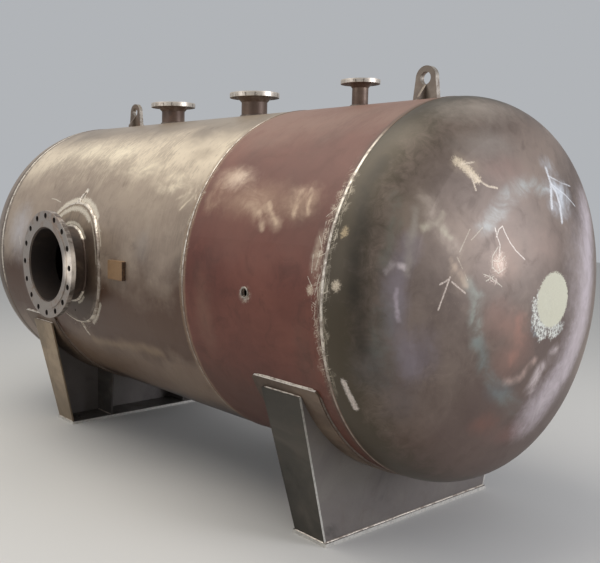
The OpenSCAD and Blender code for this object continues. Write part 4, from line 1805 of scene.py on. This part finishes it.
@dataclass
class Shell(Fixing):
    """The two courses, the two heads and the seams between them."""

    seam: SeamSizes = SeamSizes()

    def finishes(self) -> None:
        """Dresses the courses and heads."""
        s = self.sizes
        olive, umber = (70, 61, 46), (78, 64, 54)
        rear_zone = SeamZone(s.rear_seam, 0.045, umber, 0.7, 0.02, (25, 110), 0.8)
        middle_zone = SeamZone(s.middle_seam, 0.03, (150, 126, 102), 0.5, 0.022,
                               (30.0, 100.0), 0.8)
        front_zone = SeamZone(s.front_seam, 0.03, umber, 0.5, 0.034, (44, 122), 1)
        head_zone = SeamZone(s.front_seam, 0.26, olive, 0.95, 0.03, (44, 122), 0.9)
        manhole = RingZone(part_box("manhole_pad")[0].x + 0.325, s.axis_z, 0.325, 0.03, 0.45)
        rear = ScaleFinish(
            "rear course scale", dark=(88, 74, 63), mid=(126, 109, 96), light=(160, 144, 127),
            roughness=0.36, metal=0.3, streaks=0.3, tone_and_light_bands=(
                # Bands by turn from the top, mostly painted light: a greyer top as painted shade,
                # a painted highlight band of reflected light with a paler falloff below it,
                # painted shade below the middle, a warm band of painted floor reflection, and
                # painted shade darkest at the bottom.
                ToneAndLightBand((150, 137, 121), 0.75, (-20, -10, 18, 38), 0.3),
                ToneAndLightBand((172, 154, 136), 0.55, (44, 56, 76, 90), 0.3),
                ToneAndLightBand((232, 215, 189), 0.85, (22, 40, 42, 62), 0.5, 0.3),
                ToneAndLightBand((76, 49, 33), 0.95, (86, 100, 116, 128)),
                ToneAndLightBand((112, 88, 70), 0.7, (116, 128, 140, 150)),
                ToneAndLightBand((52, 36, 29), 0.98, (138, 154, 200, 210))),
            zones=(rear_zone, middle_zone), rings=(manhole,), marks=REAR_MARKS)
        front = ScaleFinish(
            "front course scale", dark=(72, 36, 26), mid=(95, 49, 37), light=(115, 66, 52),
            roughness=0.5, metal=0.12, streaks=0.15, tone_and_light_bands=(
                # Bands by turn from the top: lighter over the top and darker towards the bottom,
                # painted light and shade over the plate's own tone.
                ToneAndLightBand((140, 112, 98), 0.75, (-20, -10, 24, 52), 0.2),
                ToneAndLightBand((112, 76, 64), 0.5, (36, 50, 70, 86)),
                ToneAndLightBand((76, 46, 35), 0.7, (108, 128, 200, 210))),
            zones=(middle_zone, front_zone), marks=FRONT_MARKS,
            rings=(RingZone(-0.159, s.axis_z - 0.008, 0.02, 0.028, 0.9),))
        head = ScaleFinish(
            "front head scale", dark=(84, 69, 60), mid=(111, 96, 86), light=(134, 117, 105),
            roughness=0.47, metal=0.3, streaks=0.14, tone_and_light_bands=(
                # painted shade: darker towards the bottom
                ToneAndLightBand((84, 66, 60), 0.7, (114, 142, 200, 210)),),
            zones=(head_zone,), marks=HEAD_MARKS)
        rear_head = ScaleFinish(
            "rear head scale", dark=(88, 76, 67), mid=(116, 103, 93), light=(140, 126, 114),
            roughness=0.42, metal=0.3, streaks=0.08, tone_and_light_bands=(
                # painted light: lighter over the top
                ToneAndLightBand((166, 152, 136), 0.6, (-20, -10, 34, 60), 0.3),),
            zones=(rear_zone,))
        dress("shell_course_rear", rear.build(s))
        dress("shell_course_front", front.build(s))
        dress("head_front", head.build(s))
        dress("head_rear", rear_head.build(s))

    def girth_seams(self) -> None:
        """Lays the three ring seams."""
        s, seam = self.sizes, self.seam
        section = Section.butt(seam.half, seam.crest, seam.root, s.wall - 0.4 * MM)
        places = (("rear", s.rear_seam, 11), ("middle", s.middle_seam, 12),
                  ("front", s.front_seam, 13))
        for name, x, seed in places:
            centre = Vector((x, 0, s.axis_z))
            rail = ring_rail(centre, s.r_out, seam.step)
            self.weld(f"girth_bead_{name}", [rail], section, seed,
                      [f"girth_weld_{name}"], height=seam.ripple)

    def long_seams(self) -> None:
        """Lays the lengthwise seam of each course, on the far side."""
        s, seam = self.sizes, self.seam
        section = Section.butt(seam.half, seam.crest, seam.root, s.wall - 0.4 * MM)
        for name, seed in (("rear", 14), ("front", 15)):
            low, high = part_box(f"long_weld_{name}")
            middle = (low + high) / 2
            up = s.outwards(middle)
            side = AHEAD.cross(up)
            foot = Vector((0, 0, s.axis_z)) + up * s.r_out
            clear = seam.half * 0.7
            rail = straight_rail(foot + Vector((low.x + clear, 0, 0)),
                                 foot + Vector((high.x - clear, 0, 0)), side, up, seam.step)
            self.weld(f"long_bead_{name}", [rail], section, seed, [f"long_weld_{name}"],
                      height=seam.ripple)

    def raw_hole(self) -> None:
        """Lays the ragged slag round the raw hole in the front course."""
        s, seam = self.sizes, self.seam
        rail = saddle_rail(s, seam.hole_x, seam.hole_r, s.r_out, False, 1.6 * MM)
        self.weld("raw_hole_slag", [rail], Section.fillet(5 * MM, 0.3), 16, pitch=13 * MM,
                  height=4 * MM, uneven=1.3)

    def spatter(self) -> None:
        """Scatters drops of weld metal beside the front seam."""
        s = self.sizes
        strip = BeadMesh(0.0)
        count = 96
        for low, high, heat in ((-0.09, -0.012, 0.5), (-0.045, -0.012, 1.0)):
            turns = (30 + 100 * i / count for i in range(count + 1))
            edges = s.front_seam + low, s.front_seam + high
            strip.strip([tuple(s.on_shell(x, turn, -SUNK) for x in edges)
                         for turn in turns], heat)
        piece = TREES.run(DetailTree.SPATTER, strip.mesh("seam_spatter"), self.bead, 21,
                          Density=2600.0, Small=0.5 * MM, Large=2.0 * MM)
        seat(piece, "weld")


@dataclass(frozen=True)
class ManholeSizes:
    """Sizes of the manhole's neck, pad and fillets, and the ends of the loose beads.

    An end is given as metres along the tank and degrees from the top.
    """

    neck_r: float = half_width(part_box("manhole_neck"))
    pad_r: float = half_width(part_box("manhole_pad"))
    flange_r: float = half_width(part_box("manhole_flange"))
    bolts: int = 16
    bolt_ring_r: float = 262.5 * MM
    bolt_hole_r: float = 15.3 * MM
    pad_leg: float = 12 * MM
    neck_leg: float = 10 * MM
    step: float = 2.5 * MM
    tacks: tuple[tuple[Spot, Spot], ...] = (
        ((-1.688, 67.2), (-1.648, 61.2)), ((-1.672, 67.0), (-1.664, 62.4)),
        ((-1.704, 66.8), (-1.676, 64.2)))
    runs: tuple[tuple[Spot, Spot], ...] = (
        ((-1.760, 68.4), (-1.668, 65.8)), ((-1.676, 113.2), (-1.642, 119.4)))


@dataclass
class Manhole(Fixing):
    """The open manhole: pad, neck, flange and their fillets."""

    own: ManholeSizes = ManholeSizes()
    x: float = MANHOLE_X

    def finishes(self) -> None:
        """Dresses the pad, the neck and the flange."""
        s, own = self.sizes, self.own
        axis = (self.x, 0.0, s.axis_z)
        pad = ScaleFinish(
            "manhole pad scale", dark=(60, 49, 42), mid=(92, 77, 66), light=(132, 114, 97),
            roughness=0.42, metal=0.3, streaks=0.3, tone_and_light_bands=(
                # a paler band above the middle as painted highlight, and painted shade over the
                # lower half
                ToneAndLightBand((172, 152, 128), 0.6, (52, 60, 70, 80), 0.4),
                ToneAndLightBand((68, 47, 35), 0.8, (94, 104, 125, 130))),
            rings=(RingZone(self.x, s.axis_z, own.pad_r, 0.025, 0.45),
                   RingZone(self.x, s.axis_z, own.neck_r, 0.025, 0.35)), marks=PAD_MARKS)
        # painted shade inside the neck's bore
        inside = RoundPatch(axis, False, own.neck_r - 6 * MM, True)
        neck = PlateFinish(
            "manhole neck scale", (70, 56, 47), (38, 30, 26), (118, 100, 84), (96, 70, 54),
            0.4, coats=(Coat(inside, (44, 38, 36), 0.9, 0.55, 0.2, 0.2, 14),))
        back = EdgePatch(1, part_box("manhole_flange")[1].y, 3 * MM, nearer=True)
        # painted shade: the walls of the bolt holes darkened
        holes = BoltPatch(axis, False, own.bolts, own.bolt_ring_r, own.bolt_hole_r)
        rim_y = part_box("manhole_flange")[0].y + 20 * MM
        # painted highlight on the flange rim
        lit = BallPatch((self.x + own.flange_r, rim_y, s.axis_z + 0.01), 0.12)
        flange = TurnedFinish("manhole flange", axis, False, own.flange_r,
                              face=(164, 155, 147), rust_cover=0.6, coats=(
                                  Coat(lit, (246, 234, 220), 1, 0.5, 0.1, 0.3, 30),
                                  Coat(back, (96, 80, 68), 0.9, 0.5, 0.3, 0.3, 20),
                                  Coat(holes, (40, 33, 30), 1, 0.6, 0.1, 0.1)))
        dress("manhole_pad", pad.build(s))
        dress("manhole_neck", neck.build())
        dress("manhole_flange", flange.build())

    def beads(self, neck_bead: Material) -> None:
        """Lays the fillets of the pad and the neck, and the loose ends beside them.

        Args:
            neck_bead: The weld metal of the neck's fillet.
        """
        s, own = self.sizes, self.own
        pad = saddle_rail(s, self.x, own.pad_r, s.r_out, False, own.step)
        neck = saddle_rail(s, self.x, own.neck_r, s.r_out + s.pad_t, False, own.step)
        self.weld("manhole_pad_bead", [pad], Section.fillet(own.pad_leg), 31,
                  ["manhole_pad_weld"], height=2.4 * MM, uneven=0.75)
        pad_metal, self.bead = self.bead, neck_bead
        self.weld("manhole_neck_bead", [neck], Section.fillet(own.neck_leg), 32,
                  ["manhole_neck_weld"], height=1.4 * MM, uneven=0.35)
        self.bead = pad_metal
        thick, thin = ([shell_rail(s, start, stop, 2 * MM) for start, stop in ends]
                       for ends in (own.tacks, own.runs))
        self.weld("manhole_pad_tacks", thick,
                  Section.butt(13 * MM, 7 * MM, 6 * MM, 1 * MM), 33, height=2.6 * MM,
                  uneven=0.8)
        self.weld("manhole_pad_runs", thin,
                  Section.butt(8 * MM, 3.4 * MM, 3 * MM, 1 * MM), 34, height=1.6 * MM,
                  uneven=0.8)
        self._spatter()

    def _spatter(self) -> None:
        """Scatters drops of weld metal round the pad."""
        s, own = self.sizes, self.own
        strip = BeadMesh(0.0)
        count = 72
        pairs = []
        for i in range(count + 1):
            a = math.tau * i / count
            pair = []
            for reach in (own.pad_r + 8 * MM, own.pad_r + 42 * MM):
                over = reach * math.sin(a)
                depth = math.sqrt((s.r_out - SUNK) ** 2 - over ** 2)
                pair.append(Vector((self.x + reach * math.cos(a), -depth, s.axis_z + over)))
            pairs.append(pair)
        strip.strip(pairs, 1.0)
        piece = TREES.run(DetailTree.SPATTER, strip.mesh("pad_spatter"), self.bead, 35,
                          Density=7000.0, Small=0.5 * MM, Large=2.2 * MM)
        seat(piece, "weld")


@dataclass
class TopFittings(Fixing):
    """The three flanged nozzles and the two lifting lugs on top."""

    nozzles: tuple[str, ...] = ("rear", "middle", "front")
    lugs: tuple[str, ...] = ("rear", "front")
    neck_leg: float = 9 * MM
    lug_leg: float = 8 * MM
    lug_half: float = 12.5 * MM
    lug_gap: float = 7 * MM
    step: float = 2.5 * MM

    def finishes(self) -> None:
        """Dresses the necks, flanges and lugs."""
        brown = (96, 77, 65)
        pipe = PlateFinish("nozzle neck scale", brown, (66, 50, 42), (134, 112, 94),
                           (112, 82, 64), 0.5).build()
        silver = Coat(EdgePatch(1, 0, 12.2 * MM, nearer=True), (176, 168, 156), 0.75, 0.4,
                      0.6, 0.8, 50.0)
        lug = PlateFinish("lug plate", (116, 104, 93), (78, 66, 58), (158, 146, 132),
                          (118, 86, 66), 0.5, coats=(silver,)).build()
        for name in self.nozzles:
            low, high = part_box(f"nozzle_{name}_flange")
            centre = ((low.x + high.x) / 2, (low.y + high.y) / 2, high.z)
            rim_r = (high.x - low.x) / 2
            hub = RoundPatch(centre, True, rim_r - 1 * MM, True)
            face = EdgePatch(2, high.z, 8 * MM, nearer=True)
            turned = TurnedFinish(
                f"{name} nozzle flange", centre, True, rim_r, face=(206, 196, 182),
                rust_cover=0.4, coats=(Coat(hub, brown, 1, 0.5, 0.25, 0.15, 20),
                                       Coat(face, (214, 203, 189), 0.9, 0.4, 0.5, 0.3, 20)))
            dress(f"nozzle_{name}_flange", turned.build())
            dress(f"nozzle_{name}_neck", pipe)
        for name in self.lugs:
            dress(f"lug_{name}", lug)

    def beads(self) -> None:
        """Lays the fillets at the feet of the nozzles and lugs."""
        s = self.sizes
        necks = [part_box(f"nozzle_{name}_neck") for name in self.nozzles]
        rails = [saddle_rail(s, mid_x(neck), half_width(neck), s.r_out, True, self.step)
                 for neck in necks]
        self.weld("nozzle_beads", rails, Section.fillet(self.neck_leg), 41, ["nozzle_welds"],
                  height=1.2 * MM, uneven=0.25)
        feet = []
        for name in self.lugs:
            low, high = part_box(f"lug_{name}")
            middle = (low.x + high.x) / 2
            for side in (-1, 1):
                turn = math.degrees(math.asin(self.lug_half / s.r_out))
                feet += [self._lug_rail(low.x + 4 * MM, middle - self.lug_gap, turn, side),
                         self._lug_rail(middle + self.lug_gap, high.x - 4 * MM, turn, side)]
        self.weld("lug_beads", feet, Section.fillet(self.lug_leg), 42, height=1.2 * MM,
                  uneven=0.3)

    def _lug_rail(self, start: float, stop: float, turn: float, side: int) -> Rail:
        """Makes the rail of one fillet at a lug's foot.

        Args:
            start: Its first place along the tank.
            stop: Its last place along the tank.
            turn: Turn of the lug's face from the top in degrees.
            side: 1 on the manhole side, -1 on the far side.

        Returns:
            The rail.
        """
        first = self.sizes.on_shell(start, side * turn)
        last = self.sizes.on_shell(stop, side * turn)
        return straight_rail(first, last, Vector((0, -side, 0)), UP, self.step)


@dataclass(frozen=True)
class SaddleSizes:
    """Sizes of one saddle's beads, and the turn of its wear plate from the bottom."""

    leg: float = 6 * MM
    foot_leg: float = 5 * MM
    step: float = 4 * MM
    wear_turn: float = 64.5
    wear_corner: float = 25 * MM
    base_t: float = 16 * MM
    inner_rib_y: float = 0.29
    foot_inset: float = 3 * MM
    rib_inset: float = 11 * MM


@dataclass
class Saddle(Fixing):
    """One saddle: wear plate, web, ribs and base with their fillets.

    Its name is front or rear. ahead is 1 where the web is on its front side, otherwise -1. The end
    ribs' tone carries painted shade on the front saddle and painted light on the rear one.
    """

    name: str
    ahead: int
    lit_or_shaded_rib_tone: Tone
    own: SaddleSizes = SaddleSizes()

    def part(self, name: str) -> tuple[Vector, Vector]:
        """Gives the box of one of the saddle's nodes."""
        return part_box(f"saddle_{self.name}_{name}")

    def finishes(self) -> None:
        """Dresses the saddle's plates."""
        s, own = self.sizes, self.own
        cut = (206, 202, 194)
        low, high = self.part("base")
        rims = tuple(Coat(EdgePatch(axis, (low[axis] + high[axis]) / 2,
                                    (high[axis] - low[axis]) / 2 - 0.5 * MM), cut, 0.95)
                     for axis in (0, 1))
        web = self.part("web")
        web_x = web[1].x if self.ahead > 0 else web[0].x
        rib_edge = Coat(EdgePatch(0, web_x, 0.5 * MM, nearer=True), cut, 0.9)
        wear_end = Coat(TurnPatch(s.axis_z, own.wear_turn - 0.04), (232, 228, 220), 1)
        grey = {"dark": (74, 70, 67), "light": (124, 118, 112), "rust": (92, 74, 60)}
        # darker and paler variants of the end ribs' tone, with the painted shade of the front
        # saddle or the painted light of the rear one
        brown = tuple(round(item * 0.72) for item in self.lit_or_shaded_rib_tone)
        pale = tuple(round(item * 1.25) for item in self.lit_or_shaded_rib_tone)
        finishes = {
            "base": PlateFinish(f"{self.name} base plate", (98, 94, 90), **grey, coats=rims),
            "web": PlateFinish(f"{self.name} web plate", (116, 109, 105), **grey,
                               rust_cover=0.25),
            "inner_ribs": PlateFinish(f"{self.name} inner rib", (84, 80, 76), **grey),
            "end_ribs": PlateFinish(f"{self.name} end rib", self.lit_or_shaded_rib_tone, brown, pale,
                                    (86, 68, 54), 0.3, coats=(rib_edge,)),
            "wear_plate": PlateFinish(f"{self.name} wear plate", (95, 79, 66), (62, 50, 42),
                                      (126, 108, 92), (104, 72, 54), 0.4, coats=(wear_end,)),
        }
        for part, finish in finishes.items():
            dress(f"saddle_{self.name}_{part}", finish.build())

    def beads(self, bright: Material) -> None:
        """Lays the saddle's fillets.

        Args:
            bright: The weld metal of the beads that were ground.
        """
        seed = 51 if self.name == "front" else 61
        section = Section.fillet(self.own.leg)
        self.weld(f"wear_plate_beads_{self.name}", self._wear_rails(), section, seed,
                  height=0.8 * MM, uneven=0.25)
        stained, self.bead = self.bead, bright
        self.weld(f"saddle_end_beads_{self.name}", self._end_rails(), section, seed + 1,
                  height=0.9 * MM, uneven=0.3)
        self.weld(f"saddle_foot_beads_{self.name}", self._foot_rails(),
                  Section.fillet(self.own.foot_leg), seed + 2, height=0.8 * MM, uneven=0.3)
        self.bead = stained

    def _wear_rails(self) -> list[Rail]:
        """Makes the rails along the two long edges of the wear plate.

        Returns:
            The rails.
        """
        s, own = self.sizes, self.own
        low, high = self.part("wear_plate")
        half = own.wear_turn - math.degrees(own.wear_corner / s.r_out)
        rails = []
        for x, way in ((low.x, -1), (high.x, 1)):
            count = round(math.radians(2 * half) * s.r_out / own.step)
            points = [s.on_shell(x, 180 - half + 2 * half * i / count) for i in range(count + 1)]
            rails.append(Rail(points, [Vector((way, 0, 0))] * len(points),
                              [s.outwards(p) for p in points]).facing())
        return rails

    def _end_rails(self) -> list[Rail]:
        """Makes the rails above the wear plate's ends and along the tops of the end ribs.

        Returns:
            The rails.
        """
        s, own = self.sizes, self.own
        low, high = self.part("wear_plate")
        rib_low, rib_high = self.part("end_ribs")
        rails = []
        for side in (-1, 1):
            turn = side * (180 - own.wear_turn)
            start = s.on_shell(low.x + own.wear_corner, turn)
            stop = s.on_shell(high.x - own.wear_corner, turn)
            up = s.outwards(start)
            higher = AHEAD.cross(up)
            higher = higher if higher.z > 0 else -higher
            rails.append(straight_rail(start, stop, higher, up, own.step))
            over = s.r_out + s.wear_t
            y = -side * math.sqrt(over ** 2 - (s.axis_z - rib_high.z) ** 2)
            corner = Vector((0, y, rib_high.z))
            out = s.outwards(corner)
            along = AHEAD.cross(out)
            along = along if along.z > 0 else -along
            rails.append(straight_rail(
                Vector((rib_low.x + 4 * MM, y, rib_high.z)),
                Vector((rib_high.x - 2 * MM, y, rib_high.z)),
                Vector((0, math.copysign(1, y), 0)), along, own.step))
        return rails

    def _foot_rails(self) -> list[Rail]:
        """Makes the rails where the web and the end ribs stand on the base.

        Returns:
            The rails.
        """
        own = self.own
        low, high = self.part("base")
        web_low, web_high = self.part("web")
        front = web_high.x if self.ahead > 0 else web_low.x
        back = web_low.x if self.ahead > 0 else web_high.x
        foot, inner = high.y - own.foot_inset, own.inner_rib_y
        far = high.x - own.rib_inset if self.ahead < 0 else low.x + own.rib_inset
        runs = [((front, -foot), (front, foot), AHEAD * self.ahead)]
        for side in (-1, 1):
            runs += [((far, side * y), (x, side * y), FAR_SIDE * side)
                     for y, x in ((foot, front), (inner, back))]
        return [straight_rail(Vector((*start, own.base_t)), Vector((*stop, own.base_t)), out,
                              UP, own.step)
                for start, stop, out in runs]


@dataclass(frozen=True)
class View:
    """The photograph's camera, fitted to the tank's own seams, flange and feet."""

    place: Place = (2.3567, -2.9258, 1.4875)
    right: Place = (0.62183, 0.78305, 0.01239)
    up: Place = (-0.09776, 0.06191, 0.99328)
    back: Place = (0.77703, -0.61887, 0.11505)
    lens: float = 48.746
    sensor: float = 36.0
    shift: float = 0.1267


class Studio:
    """Floor, light and camera."""

    def camera(self, view: View) -> None:
        """Sets the camera.

        Args:
            view: Where it stands and looks.
        """
        data = bpy.data.cameras.new("photo view")
        data.sensor_width = view.sensor
        data.sensor_fit = "HORIZONTAL"
        data.lens = view.lens
        data.shift_x = view.shift
        data.clip_start = 0.05
        eye = bpy.data.objects.new("photo view", data)
        turn = Matrix((view.right, view.up, view.back)).transposed().to_4x4()
        eye.matrix_world = Matrix.Translation(view.place) @ turn
        scene = bpy.context.scene
        scene.collection.objects.link(eye)
        scene.camera = eye
        scene.view_settings.view_transform = "Standard"

    def lamp(self, name: str, place: Place, target: Place, size: float, power: float,
             tone: Tone) -> None:
        """Hangs one soft lamp.

        Args:
            name: Its name.
            place: Where it hangs.
            target: What it faces.
            size: Its side.
            power: Its power in watts.
            tone: Its colour.
        """
        data = bpy.data.lights.new(name, "AREA")
        data.size = size
        data.energy = power
        data.color = linear(tone)[:3]
        lamp = bpy.data.objects.new(name, data)
        lamp.location = place
        aim = Vector(target) - Vector(place)
        lamp.rotation_euler = aim.to_track_quat("-Z", "Y").to_euler()
        bpy.context.scene.collection.objects.link(lamp)

    def light(self) -> None:
        """Sets the pale surroundings and the lamps."""
        world = bpy.data.worlds.new("pale room")
        bpy.context.scene.world = world
        world.use_nodes = True
        sky = world.node_tree.nodes["Background"]
        sky.inputs["Color"].default_value = (0.80, 0.83, 0.87, 1.0)
        sky.inputs["Strength"].default_value = 0.55
        middle = (-1.1, 0.0, 1.0)
        self.lamp("roof", (-1.6, -1.6, 5.2), middle, 4.5, 180.0, (255, 250, 240))
        self.lamp("side", (-2.4, -5.5, 2.8), middle, 3.0, 40.0, (250, 250, 255))
        self.lamp("door", (5.2, 2.6, 2.4), (0.4, 0.2, 1.0), 3.2, 230.0, (244, 246, 255))

    def floor(self) -> None:
        """Lays the plain pale floor."""
        reach = 14.0
        mesh = bpy.data.meshes.new("floor")
        corners = [(-reach, -reach, 0), (reach, -reach, 0), (reach, reach, 0),
                   (-reach, reach, 0)]
        mesh.from_pydata(corners, [], [(0, 1, 2, 3)])
        floor = bpy.data.objects.new("floor", mesh)
        bpy.context.scene.collection.objects.link(floor)
        skin = Skin("pale floor", (205, 203, 199), 0.8, 0.0)
        mesh.materials.append(skin.finish())


def main() -> None:
    """Builds every sub-assembly in order."""
    logging.basicConfig(level=logging.INFO, format="%(message)s")
    studio = Studio()
    studio.camera(View())
    studio.light()
    studio.floor()
    sizes = SIZES
    seams = BeadFinish("seam weld metal", runs=(
        BrightRun(sizes.front_seam, (34, 116), 1, 9.5 * MM),
        BrightRun(sizes.front_seam, (104, 160), 0.35, 5 * MM),
        BrightRun(sizes.middle_seam, (14, 96), 1, 5.4 * MM),
        BrightRun(sizes.middle_seam, (80, 150), 0.35, 5 * MM),
        BrightRun(sizes.rear_seam, (12, 110), 1, 9 * MM))).build(sizes)
    # painted highlight: the neck's fillet is bright on its top and bottom arcs and dull across the
    # middle
    neck_bead = BeadFinish("neck weld metal", (84, 68, 58), brightness=0.9,
                           dull=EdgePatch(2, sizes.axis_z, 0.14, nearer=True)).build(sizes)
    pad_bead = BeadFinish("pad weld metal", (112, 94, 80), brightness=0.95, dulled=0.6,
                          dull=EdgePatch(2, sizes.axis_z - 0.02, 0.2, nearer=True)).build(sizes)
    bright = BeadFinish("ground weld metal", brightness=0.9).build(sizes)
    stained = BeadFinish("stained weld metal", (84, 68, 58), brightness=0.12).build(sizes)
    slag = BeadFinish("slag", (70, 58, 52), brightness=0.6).build(sizes)
    shell = Shell(sizes, seams)
    shell.finishes()
    shell.girth_seams()
    shell.long_seams()
    shell.spatter()
    shell.bead = slag
    shell.raw_hole()
    manhole = Manhole(sizes, pad_bead)
    manhole.finishes()
    manhole.beads(neck_bead)
    top = TopFittings(sizes, stained)
    top.finishes()
    top.beads()
    # painted shade on the plate's end face towards the front head
    shaded_end_face = Coat(EdgePatch(0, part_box("side_plate")[1].x, 3 * MM, nearer=True),
                     (58, 42, 34), 0.9)
    tan = PlateFinish("bare tan plate", (142, 112, 80), (108, 82, 60), (184, 152, 112),
                      (112, 76, 52), 0.5, coats=(shaded_end_face,))
    dress("side_plate", tan.build())
    # end rib tones: painted shade on the front saddle, painted light on the rear one
    for name, ahead, tone in (("front", 1, (62, 58, 51)), ("rear", -1, (128, 112, 92))):
        saddle = Saddle(sizes, stained, name, ahead, tone)
        saddle.finishes()
        saddle.beads(bright)


if __name__ == "__main__":
    main()
